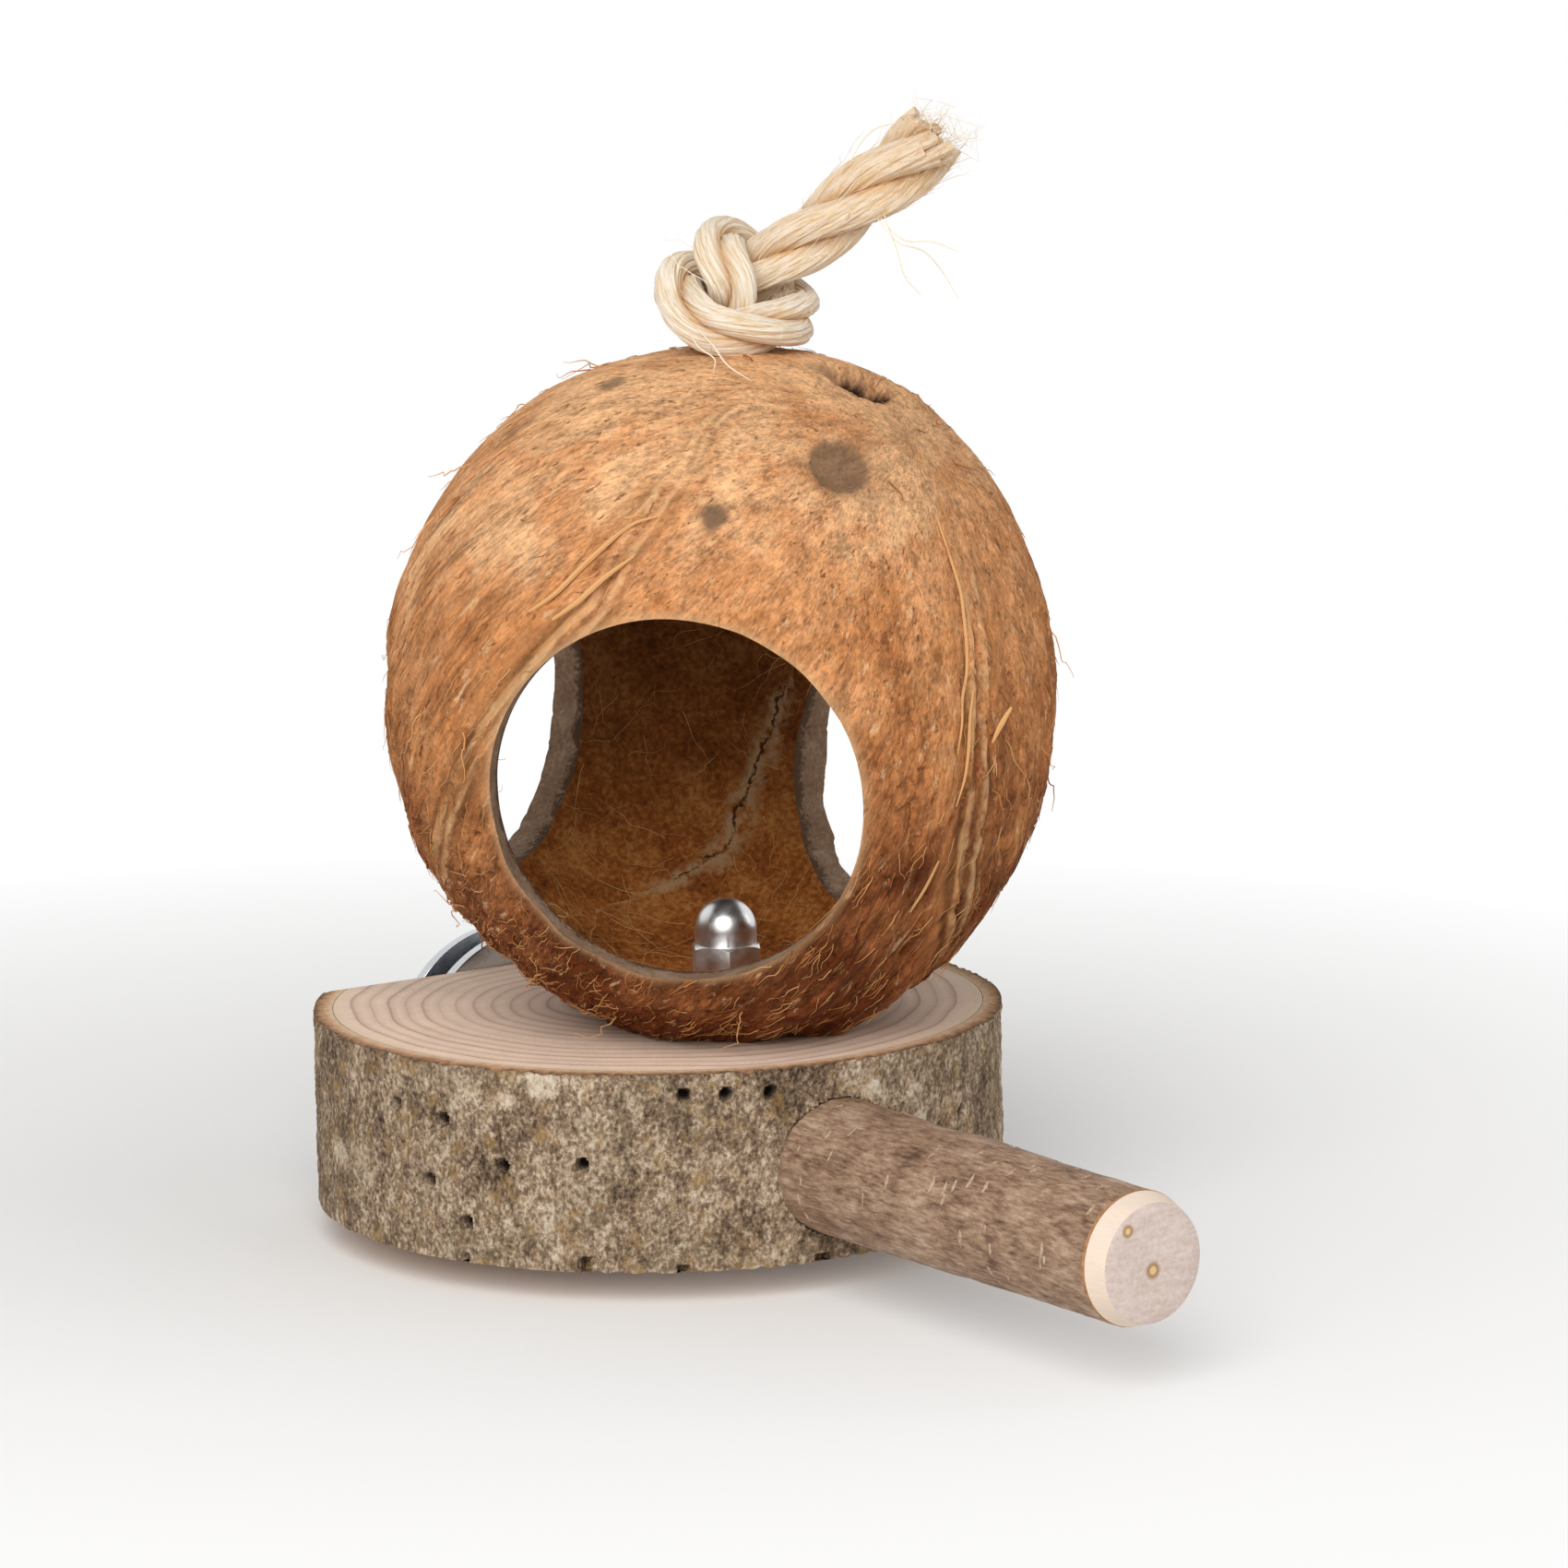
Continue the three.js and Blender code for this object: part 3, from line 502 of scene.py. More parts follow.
def add_node(tree, kind, inputs=None, stops=None, output=None, **settings):
    """Adds a node with its settings and inputs. Gives its first output in use, or the named one."""
    node = tree.nodes.new(kind)
    for name, value in settings.items():
        setattr(node, name, value)
    if stops:
        ramp = node.color_ramp.elements
        ramp.remove(ramp[1])
        ramp[0].position, ramp[0].color = stops[0]
        for place, tone in stops[1:]:
            ramp.new(place).color = tone
    for key, value in (inputs or {}).items():
        found = [socket for socket in node.inputs if key in (socket.identifier, socket.name)]
        socket = node.inputs[key] if isinstance(key, int) else found[0]
        if isinstance(value, bpy.types.NodeSocket):
            tree.links.new(value, socket)
        else:
            socket.default_value = value
    if output:
        return node.outputs[output]
    return next((socket for socket in node.outputs if socket.enabled), None)


def new_finish(name):
    """A material, its tree, its shader and the place on the object in metres."""
    material = bpy.data.materials.new(name)
    material.use_nodes = True
    tree = material.node_tree
    place = add_node(tree, "ShaderNodeTexCoord", output="Object")
    return material, tree, tree.nodes["Principled BSDF"], place


def mottle(tree, place, *layers):
    """Noises added up: each layer has a size in mm, a weight and how much it is squeezed along each axis."""
    total = 0.0
    for size, weight, squeeze in layers:
        drawn = add_node(tree, "ShaderNodeVectorMath", {0: place, 1: squeeze}, operation="MULTIPLY")
        layer = add_node(tree, "ShaderNodeTexNoise", {
            "Vector": drawn, "Scale": 1 / (size * MM), "Detail": 4.0, "Roughness": 0.65,
        })
        total = add_node(tree, "ShaderNodeMath", {0: layer, 1: weight, 2: total}, operation="MULTIPLY_ADD")
    return total


def spots(tree, place, size, squeeze, start, end, most=1.0, least=0.0):
    """Patches where a noise of a size in mm is high: least where it is under start, most where over end."""
    level = mottle(tree, place, (size, 1, squeeze))
    return add_node(tree, "ShaderNodeMapRange", {
        "Value": level, "From Min": start, "From Max": end, "To Min": least, "To Max": most,
    })


def set_look(tree, shader, base, tints=(), relief=None, depth=0, roughness=0.85):
    """Gives the shader a base colour with tints laid over it in order, and a relief as deep as given."""
    for factor, tone in tints:
        base = add_node(tree, "ShaderNodeMix", {
            "Factor_Float": factor, "A_Color": base, "B_Color": tone,
        }, data_type="RGBA")
    tree.links.new(base, shader.inputs["Base Color"])
    if relief:
        normal = add_node(tree, "ShaderNodeBump", {"Height": relief, "Distance": depth})
        tree.links.new(normal, shader.inputs["Normal"])
    shader.inputs["Roughness"].default_value = roughness
    shader.inputs["Specular IOR Level"].default_value = 0.15


def new_tree(name, inputs):
    """A geometry tree with named inputs, and the sockets that give them."""
    tree = bpy.data.node_groups.new(name, "GeometryNodeTree")
    tree.interface.new_socket("Geometry", in_out="OUTPUT", socket_type="NodeSocketGeometry")
    for label, kind in inputs.items():
        tree.interface.new_socket(label, in_out="INPUT", socket_type="NodeSocket" + kind)
    return tree, tree.nodes.new("NodeGroupInput").outputs


def end_tree(tree, geometry, material):
    """Ends a tree with plain geometry in its material."""
    plain = add_node(tree, "GeometryNodeRealizeInstances", {"Geometry": geometry})
    dressed = add_node(tree, "GeometryNodeSetMaterial", {"Geometry": plain, "Material": material})
    add_node(tree, "NodeGroupOutput", {"Geometry": dressed})
    return tree


def grow(name, base, tree, **values):
    """A piece that a tree makes from a base mesh, as a plain mesh."""
    piece = bpy.data.objects.new(name, base)
    bpy.context.scene.collection.objects.link(piece)
    modifier = piece.modifiers.new(tree.name, "NODES")
    modifier.node_group = tree
    for item in tree.interface.items_tree:
        if item.in_out == "INPUT" and item.name.lower() in values:
            modifier[item.identifier] = values[item.name.lower()]
    return bake(piece)


def fibre_tree():
    """Loose fibres on a surface: each starts along the surface's flow, wanders, lies down and tapers."""
    tree, given = new_tree("Loose fibres", {
        "Surface": "Geometry", "Density": "Float", "Shortest": "Float", "Longest": "Float",
        "Thickness": "Float", "Lift": "Float", "Spread": "Float", "Curl": "Float", "Waves": "Float",
        "Hug": "Float", "Seed": "Int", "Material": "Material",
    })
    shag = add_node(tree, "GeometryNodeInputNamedAttribute", {"Name": "shag"}, data_type="FLOAT")
    flow = add_node(tree, "GeometryNodeInputNamedAttribute", {"Name": "flow"}, data_type="FLOAT_VECTOR")
    density = add_node(tree, "ShaderNodeMath", {0: shag, 1: given["Density"]}, operation="MULTIPLY")
    roots = add_node(tree, "GeometryNodeDistributePointsOnFaces", {
        "Mesh": given["Surface"], "Density": density, "Seed": given["Seed"],
    })
    lift = add_node(tree, "ShaderNodeVectorMath", {
        0: roots.node.outputs["Normal"], "Scale": given["Lift"],
    }, operation="SCALE")
    stray = add_node(tree, "FunctionNodeRandomValue", {
        "Min": (-1, -1, -1), "Max": (1, 1, 1), "Seed": given["Seed"],
    }, data_type="FLOAT_VECTOR")
    stray = add_node(tree, "ShaderNodeVectorMath", {0: stray, "Scale": given["Spread"]}, operation="SCALE")
    heading = add_node(tree, "ShaderNodeVectorMath", {0: flow, 1: lift})
    heading = add_node(tree, "ShaderNodeVectorMath", {0: heading, 1: stray})
    turn = add_node(tree, "FunctionNodeAlignRotationToVector", {"Vector": heading}, axis="Z")
    reach = add_node(tree, "FunctionNodeRandomValue", {
        "Min_001": given["Shortest"], "Max_001": given["Longest"], "Seed": given["Seed"],
    }, data_type="FLOAT")
    line = add_node(tree, "GeometryNodeCurvePrimitiveLine", {"End": (0, 0, 1)})
    line = add_node(tree, "GeometryNodeResampleCurve", {"Curve": line, "Count": 10})
    placed = add_node(tree, "GeometryNodeInstanceOnPoints", {
        "Points": roots, "Instance": line, "Rotation": turn, "Scale": reach,
    })
    chance = add_node(tree, "FunctionNodeRandomValue", {"Seed": given["Seed"]}, data_type="FLOAT")
    placed = add_node(tree, "GeometryNodeStoreNamedAttribute", {
        "Geometry": placed, "Name": "fibre", "Value": chance,
    }, domain="INSTANCE", data_type="FLOAT")
    strands = add_node(tree, "GeometryNodeRealizeInstances", {"Geometry": placed})
    own = add_node(tree, "GeometryNodeInputNamedAttribute", {"Name": "fibre"}, data_type="FLOAT")
    own = add_node(tree, "ShaderNodeMath", {0: own, 1: 40.0}, operation="MULTIPLY")
    along = add_node(tree, "GeometryNodeSplineParameter", output="Factor")
    wander = add_node(tree, "ShaderNodeTexNoise", {
        "W": own, "Scale": given["Waves"], "Detail": 1.0,
    }, noise_dimensions="4D", output="Color")
    wander = add_node(tree, "ShaderNodeVectorMath", {0: wander, 1: (0.5, 0.5, 0.5)}, operation="SUBTRACT")
    bend = add_node(tree, "ShaderNodeMath", {0: along, 1: given["Curl"]}, operation="MULTIPLY")
    wander = add_node(tree, "ShaderNodeVectorMath", {0: wander, "Scale": bend}, operation="SCALE")
    strands = add_node(tree, "GeometryNodeSetPosition", {"Geometry": strands, "Offset": wander})
    near = add_node(tree, "GeometryNodeProximity", {"Target": given["Surface"]}, output="Position")
    normal = add_node(tree, "GeometryNodeInputNormal")
    normal = add_node(tree, "GeometryNodeSampleNearestSurface", {
        "Mesh": given["Surface"], "Value": normal,
    }, data_type="FLOAT_VECTOR")
    kept = add_node(tree, "ShaderNodeMath", {0: 1.0, 1: given["Hug"]}, operation="SUBTRACT")
    height = add_node(tree, "ShaderNodeMath", {
        0: near.node.outputs["Distance"], 1: kept, 2: given["Thickness"],
    }, operation="MULTIPLY_ADD")
    height = add_node(tree, "ShaderNodeVectorMath", {0: normal, "Scale": height}, operation="SCALE")
    laid = add_node(tree, "ShaderNodeVectorMath", {0: near, 1: height})
    strands = add_node(tree, "GeometryNodeSetPosition", {"Geometry": strands, "Position": laid})
    slim = add_node(tree, "ShaderNodeMapRange", {
        "Value": along, "From Min": 0.3, "From Max": 1.0, "To Min": 1.0, "To Max": 0.3,
    })
    ring = add_node(tree, "GeometryNodeCurvePrimitiveCircle", {"Resolution": 3, "Radius": given["Thickness"]})
    hairs = add_node(tree, "GeometryNodeCurveToMesh", {
        "Curve": strands, "Profile Curve": ring, "Scale": slim, "Fill Caps": True,
    })
    return end_tree(tree, hairs, given["Material"])


def rope_tree():
    """Yarns laid into strands and strands into a rope along a route that carries their turning frames."""
    tree, given = new_tree("Laid rope", {
        "Route": "Geometry", "Strands": "Int", "Yarns": "Int", "Slack": "Float", "Waves": "Float",
        "Shortest": "Float", "Seed": "Int", "Material": "Material",
    })
    curves = add_node(tree, "GeometryNodeMeshToCurve", {"Mesh": given["Route"]})
    total = add_node(tree, "ShaderNodeMath", {0: given["Strands"], 1: given["Yarns"]}, operation="MULTIPLY")
    curves = add_node(tree, "GeometryNodeDuplicateElements", {
        "Geometry": curves, "Amount": total,
    }, domain="SPLINE")
    number = curves.node.outputs["Duplicate Index"]
    strand = add_node(tree, "ShaderNodeMath", {0: number, 1: 0.5})
    strand = add_node(tree, "ShaderNodeMath", {0: strand, 1: given["Yarns"]}, operation="DIVIDE")
    strand = add_node(tree, "ShaderNodeMath", {0: strand}, operation="FLOOR")
    before = add_node(tree, "ShaderNodeMath", {0: strand, 1: given["Yarns"]}, operation="MULTIPLY")
    yarn = add_node(tree, "ShaderNodeMath", {0: number, 1: before}, operation="SUBTRACT")
    outer = add_node(tree, "ShaderNodeMath", {0: yarn, 1: 1.0}, operation="MINIMUM")
    ring = add_node(tree, "ShaderNodeMath", {0: given["Yarns"], 1: 1.0}, operation="SUBTRACT")
    place = add_node(tree, "GeometryNodeInputPosition")
    own = add_node(tree, "ShaderNodeMath", {0: number, 1: 3.7}, operation="MULTIPLY")
    sway = add_node(tree, "ShaderNodeTexNoise", {
        "Vector": place, "W": own, "Scale": given["Waves"], "Detail": 1.0,
    }, noise_dimensions="4D", output="Color")
    sway = add_node(tree, "ShaderNodeVectorMath", {0: sway, 1: (0.5, 0.5, 0.5)}, operation="SUBTRACT")
    offset = add_node(tree, "ShaderNodeVectorMath", {0: sway, "Scale": given["Slack"]}, operation="SCALE")
    for name, step, steps, weight in (("strand", strand, given["Strands"], 1.0), ("yarn", yarn, ring, outer)):
        turn = add_node(tree, "ShaderNodeMath", {0: step, 1: steps}, operation="DIVIDE")
        turn = add_node(tree, "ShaderNodeMath", {0: turn, 1: 2 * math.pi}, operation="MULTIPLY")
        for operation, direction in (("COSINE", "_side"), ("SINE", "_over")):
            share = add_node(tree, "ShaderNodeMath", {0: turn}, operation=operation)
            share = add_node(tree, "ShaderNodeMath", {0: share, 1: weight}, operation="MULTIPLY")
            arm = add_node(tree, "GeometryNodeInputNamedAttribute", {"Name": name + direction},
                           data_type="FLOAT_VECTOR")
            arm = add_node(tree, "ShaderNodeVectorMath", {0: arm, "Scale": share}, operation="SCALE")
            offset = add_node(tree, "ShaderNodeVectorMath", {0: offset, 1: arm})
    thick = add_node(tree, "GeometryNodeInputNamedAttribute", {"Name": "thick"}, data_type="FLOAT")
    crest = add_node(tree, "ShaderNodeVectorMath", {0: offset}, operation="LENGTH", output="Value")
    crest = add_node(tree, "ShaderNodeMath", {0: crest, 1: thick}, operation="DIVIDE")
    for name, value in (("yarn", number), ("crest", crest)):
        curves = add_node(tree, "GeometryNodeStoreNamedAttribute", {
            "Geometry": curves, "Name": name, "Value": value,
        }, domain="POINT", data_type="FLOAT")
    curves = add_node(tree, "GeometryNodeSetPosition", {"Geometry": curves, "Offset": offset})
    ragged = add_node(tree, "FunctionNodeRandomValue", {
        "Min_001": given["Shortest"], "Max_001": 1.0, "ID": number, "Seed": given["Seed"],
    }, data_type="FLOAT")
    curves = add_node(tree, "GeometryNodeTrimCurve", {"Curve": curves, "End": ragged})
    profile = add_node(tree, "GeometryNodeCurvePrimitiveCircle", {"Resolution": 6, "Radius": 1.0})
    profile = add_node(tree, "GeometryNodeStoreNamedAttribute", {
        "Geometry": profile, "Name": "around", "Value": place,
    }, domain="POINT", data_type="FLOAT_VECTOR")
    yarns = add_node(tree, "GeometryNodeCurveToMesh", {
        "Curve": curves, "Profile Curve": profile, "Scale": thick, "Fill Caps": True,
    })
    return end_tree(tree, yarns, given["Material"])


def lenticel_tree():
    """Pale raised pores, scattered over a stick and lying across it."""
    tree, given = new_tree("Lenticels", {
        "Surface": "Geometry", "Density": "Float", "Axis": "Vector", "Smallest": "Vector",
        "Largest": "Vector", "Seed": "Int", "Material": "Material",
    })
    roots = add_node(tree, "GeometryNodeDistributePointsOnFaces", {
        "Mesh": given["Surface"], "Density": given["Density"], "Seed": given["Seed"],
    })
    normal = roots.node.outputs["Normal"]
    across = add_node(tree, "ShaderNodeVectorMath", {0: given["Axis"], 1: normal}, operation="CROSS_PRODUCT")
    turn = add_node(tree, "FunctionNodeAxesToRotation", {
        "Primary Axis": normal, "Secondary Axis": across,
    }, primary_axis="Z", secondary_axis="X")
    size = add_node(tree, "FunctionNodeRandomValue", {
        "Min": given["Smallest"], "Max": given["Largest"], "Seed": given["Seed"],
    }, data_type="FLOAT_VECTOR")
    pore = add_node(tree, "GeometryNodeMeshIcoSphere", {"Radius": 1.0, "Subdivisions": 2})
    pores = add_node(tree, "GeometryNodeInstanceOnPoints", {
        "Points": roots, "Instance": pore, "Rotation": turn, "Scale": size,
    })
    return end_tree(tree, pores, given["Material"])


# Coconut


def nut_angles(direction):
    """Angles of directions from the eye axis, and round it from the front suture."""
    away = np.arccos(np.clip(direction @ EYE_AXIS, -1, 1))
    return away, np.arctan2(direction @ EYE_SIDE, direction @ EYE_DOWN)


def eye_directions():
    for away, around, dark in EYE_PLACES:
        away, around = math.radians(away), math.radians(around)
        ring = EYE_DOWN * math.cos(around) + EYE_SIDE * math.sin(around)
        yield EYE_AXIS * math.cos(away) + ring * math.sin(away), dark


def pit_reach(direction, coconut):
    """Distance from the middle of the open eye's worn mouth, in shares of its radius."""
    worn_towards_stem, mouth_share = 0.07, 0.98
    mouth = next(eye_directions())[0] + worn_towards_stem * EYE_AXIS
    return angle_to(direction, mouth) * coconut.radius / (mouth_share * coconut.eye_radius)


def angle_to(direction, target):
    return np.arccos(np.clip(direction @ units(np.asarray(target, float)), -1, 1))


def turn_between(angle, degrees):
    return np.angle(np.exp(1j * (angle - np.radians(degrees))))


def nearest_strands(away, around, coconut):
    """Distance across to the nearest suture's strands, in mm, and how clearly they stand out there."""
    courses = [np.interp(np.degrees(away), aways, rounds) for aways, rounds, _ in SUTURE_STRANDS]
    turns = turn_between(around, np.array(courses))
    nearest = np.abs(turns).argmin(axis=0)
    strength = np.array([strength for _, _, strength in SUTURE_STRANDS])[nearest]
    across = np.take_along_axis(turns, nearest[None], axis=0)[0] * coconut.radius / MM * np.sin(away)
    return across, strength * fade(away, 0.2, 0.6)


def grain_place(away, around):
    """Places for noise that is drawn out along the husk's fibres."""
    wide = np.sqrt(np.sin(away))
    return np.stack([np.cos(around) * wide, np.sin(around) * wide, away], axis=1)


def nut_middle(coconut):
    return np.array([NEST_X, NEST_Y, SHELL_BOTTOM + coconut.rise - coconut.foot_cut])


def husk_distance(direction, coconut):
    """Distance from the nut's middle to the outside of the husk, in metres."""
    away, around = nut_angles(direction)
    flat = (direction[:, 0] ** 2 + direction[:, 1] ** 2) / coconut.radius ** 2
    egg = 1 / np.sqrt(flat + direction[:, 2] ** 2 / coconut.rise ** 2)
    along = np.sin(away) ** 2
    shaggy = fade(direction[:, 2] * egg, coconut.scraped_height, 0)
    out = egg + STEM_END_RISE * bump(away, STEM_END_WIDTH) + NUT_TRIGON * along * np.cos(3 * around)
    out += coconut.bundle_relief * along * shaggy * np.cos(coconut.bundles * around)
    for suture in SUTURE_RIDGES:
        across = turn_between(around, suture) * egg * np.sin(away)
        out += SUTURE_HEIGHT * along * bump(across, SUTURE_WIDTH)
    out -= coconut.knot_seat * bump(angle_to(direction, UP) * coconut.rise, KNOT_SEAT_WIDTH)
    ragged = 1 + 0.12 * smooth_noise(direction * 24)
    for eye, _ in list(eye_directions())[1:]:
        out -= EYE_DEPTH / (1 + (angle_to(direction, eye) * coconut.radius / coconut.eye_radius) ** 6)
    out -= OPEN_EYE_MOUTH_DEPTH / (1 + (pit_reach(direction, coconut) * ragged) ** 9)
    rim = np.ones(len(direction))
    for gap in door_gaps(nut_middle(coconut) + direction * coconut.radius, coconut):
        rim = np.minimum(rim, fade(np.abs(gap), 0, DOOR_SMOOTH_WIDTH))
    return out + MM * (0.3 + 0.7 * rim) * husk_relief(direction, away, around, coconut)


def husk_relief(direction, away, around, coconut):
    """Torn flakes, cracks, threads, pits, dents and the corded sutures, in mm; rougher towards the foot."""
    low = fade(direction[:, 2], 0.8, -0.4)
    span = coconut.radius / MM
    grain = grain_place(away, around) * span
    flakes = smooth_noise(grain / np.array([2.6, 2.6, 11]), 3)
    cracks = smooth_noise(grain / np.array([3.4, 3.4, 17]) + 7, 2)
    threads = smooth_noise(grain / np.array([1.1, 1.1, 10]) + 13)
    dents = smooth_noise(direction * span / 15 + 11)
    pits = smooth_noise(direction * span / 1.8 + 23, 1)
    relief = (0.08 + 0.3 * low) * flakes + (0.06 + 0.13 * low) * threads + 0.25 * dents
    relief -= (0.1 + 0.7 * low) * bump(cracks, 0.07) + 0.5 * fade(pits, 0.45, 0.75) * (1 - 0.7 * low)
    across, clear = nearest_strands(away, around, coconut)
    for place, height in SUTURE_CORDS:
        course = across - place + 0.5 * smooth_noise(grain / np.array([9, 9, 16]) + place)
        torn = fade(smooth_noise(grain / np.array([6, 6, 9]) - place), -0.5, 0.2)
        relief += clear * height * torn * bump(course, 0.7)
    return relief


def ball(steps):
    """Directions and quads of a ball: a cube's six grids with lines at equal angles."""
    line = np.tan(np.linspace(-math.pi / 4, math.pi / 4, steps + 1))
    u, v = np.meshgrid(line, line, indexing="ij")
    sides = []
    for axis in range(3):
        for sign in (1, -1):
            side = np.empty((steps + 1, steps + 1, 3))
            side[..., axis] = sign
            side[..., (axis + 1) % 3] = u * sign
            side[..., (axis + 2) % 3] = v
            sides.append(side.reshape(-1, 3))
    quads = grid_faces(steps + 1, steps + 1)
    return units(np.concatenate(sides)), np.concatenate([quads + i * len(sides[0]) for i in range(6)])


def door_axes():
    """A point on the nest bolt's axis and the way out, for each doorway."""
    for turn, height in DOORS:
        turn = math.radians(turn)
        start = np.array([NEST_X, NEST_Y, BOARD_TOP + height * MM])
        yield start, np.array([math.sin(turn), -math.cos(turn), 0])


def door_gaps(points, coconut):
    """How far points lie outside the edge of each doorway, and far for points behind it."""
    far = 1.0
    for start, out in door_axes():
        reach = points - start
        ahead = reach @ out
        gap = np.linalg.norm(reach - np.outer(ahead, out), axis=1) - coconut.door_radius
        yield np.where(ahead > 0, gap, far)


# Finishes of the shell's faces
HUSK, INSIDE, CUT = 0, 1, 2


def make_shell(coconut, materials):
    """The hollow nut with its flat foot, doorways, rope hole, bolt hole and open eye."""
    middle = nut_middle(coconut)
    husk_steps, cavity_steps, door_sides = 124, 72, 240
    directions, faces = ball(husk_steps)
    husk = middle + directions * husk_distance(directions, coconut)[:, None]
    shell = new_piece("coconut", husk, faces, *materials)
    directions, faces = ball(cavity_steps)
    hollow = directions * (np.array([coconut.radius, coconut.radius, coconut.rise]) - coconut.wall)
    residue = residue_distance(hollow)
    rough = 0.3 * smooth_noise(directions * 7, 3) - 0.7 * bump(residue, 1.8) + 0.5 * bump(residue, 0.8)
    hollow = middle + hollow + directions * rough[:, None] * MM
    hollow[:, 2] = np.maximum(hollow[:, 2], SHELL_BOTTOM + coconut.floor)
    wide = 3 * coconut.radius
    fixing = bpy.context.scene.bird_house_fixing
    bolt_hole = fixing.thread_radius + fixing.bore_gap
    rope_hole = bpy.context.scene.bird_house_rope.hole_radius
    open_eye = next(eye_directions())[0]
    cutters = [
        new_piece("cavity", hollow, faces, *materials, finish=[INSIDE] * len(faces)),
        block("foot", middle - wide, (wide, wide, SHELL_BOTTOM), *materials, finish=CUT),
        rod("rope_hole", middle, UP, wide, rope_hole, 48, *materials, finish=CUT),
        rod("bolt_hole", middle, -UP, wide, bolt_hole, 32, *materials, finish=CUT),
        rod("open_eye", middle, open_eye, wide, coconut.open_eye_radius, 40, *materials, finish=CUT),
    ]
    for start, out in door_axes():
        cutters.append(rod("door", start, out, wide, coconut.door_radius, door_sides, *materials, finish=CUT))
    return carve(shell, cutters, crease=35)


def residue_distance(offset):
    """Distance of points on the inner wall from the dried flesh's line, in mm, less than 0 on its left."""
    offset = offset / MM
    nearest = np.full(len(offset), 99.0)
    for a, b in zip(np.array(RESIDUE), np.array(RESIDUE[1:])):
        share = np.clip((offset - a) @ (b - a) / ((b - a) @ (b - a)), 0, 1)
        reach = offset - a - share[:, None] * (b - a)
        distance = np.linalg.norm(reach, axis=1) * np.sign(np.cross(b - a, a) @ reach.T)
        nearest = np.where(np.abs(distance) < np.abs(nearest), distance, nearest)
    return nearest


def mark_shell(shell, coconut):
    """Stores the grain, marks, flow and shagginess for each point of the shell."""
    points = np.array([vertex.co for vertex in shell.data.vertices])
    offset = points - nut_middle(coconut)
    direction = units(offset)
    away, around = nut_angles(direction)
    ring = np.outer(np.cos(around), EYE_DOWN) + np.outer(np.sin(around), EYE_SIDE)
    flow = ring * np.cos(away)[:, None] - np.outer(np.sin(away), EYE_AXIS)
    ragged = 1 + 0.35 * smooth_noise(direction * 22, 3)
    stain = np.zeros(len(offset))
    for place, radius, strength in STAINS:
        distance = angle_to(direction, place) * coconut.radius / MM
        stain = np.maximum(stain, strength * fade(distance * ragged, radius * 1.25, radius * 0.5))
    for eye, dark in eye_directions():
        distance = angle_to(direction, eye) * coconut.radius / coconut.eye_radius
        # Painted shade in the dip round each eye, stronger on one side.
        eye_dip_shade = 0.45 * fade(distance * ragged + 0.5 * (direction - eye) @ (UP - EYE_DOWN), 1.7, 1.0)
        stain = np.maximum(stain, dark * np.maximum(eye_dip_shade, fade(distance + 0.1 * ragged, 1.2, 1.02)))
    pit = fade(pit_reach(direction, coconut) * ragged, 1.08, 0.9)
    half = np.array([coconut.radius, coconut.radius, coconut.rise])
    depth = (np.linalg.norm(offset / half, axis=1) - 1) * coconut.radius / coconut.wall + 1
    across, clear = nearest_strands(away, around, coconut)
    across = np.clip(across, -9, 9)
    suture = clear * fade(np.abs(across), 6.5, 3)
    rim = np.zeros(len(offset))
    for gap in door_gaps(points, coconut):
        rim = np.maximum(rim, bump(gap * ragged, DOOR_RIM_WIDTH))
    low = fade(direction[:, 2], 0.5, -0.8)
    left = fade(direction[:, 0], 0.1, -0.9)
    shag = (0.14 + 0.9 * low ** 2 + 0.5 * left * low + 0.25 * suture) * (0.3 + 1.2 * fade(ragged, 0.85, 1.25))
    store(
        shell.data, grain=grain_place(away, around), stain=stain, residue=residue_distance(offset), flow=flow,
        shag=shag, suture=suture, across=across, rim=rim, depth=depth, pit=pit,
    )


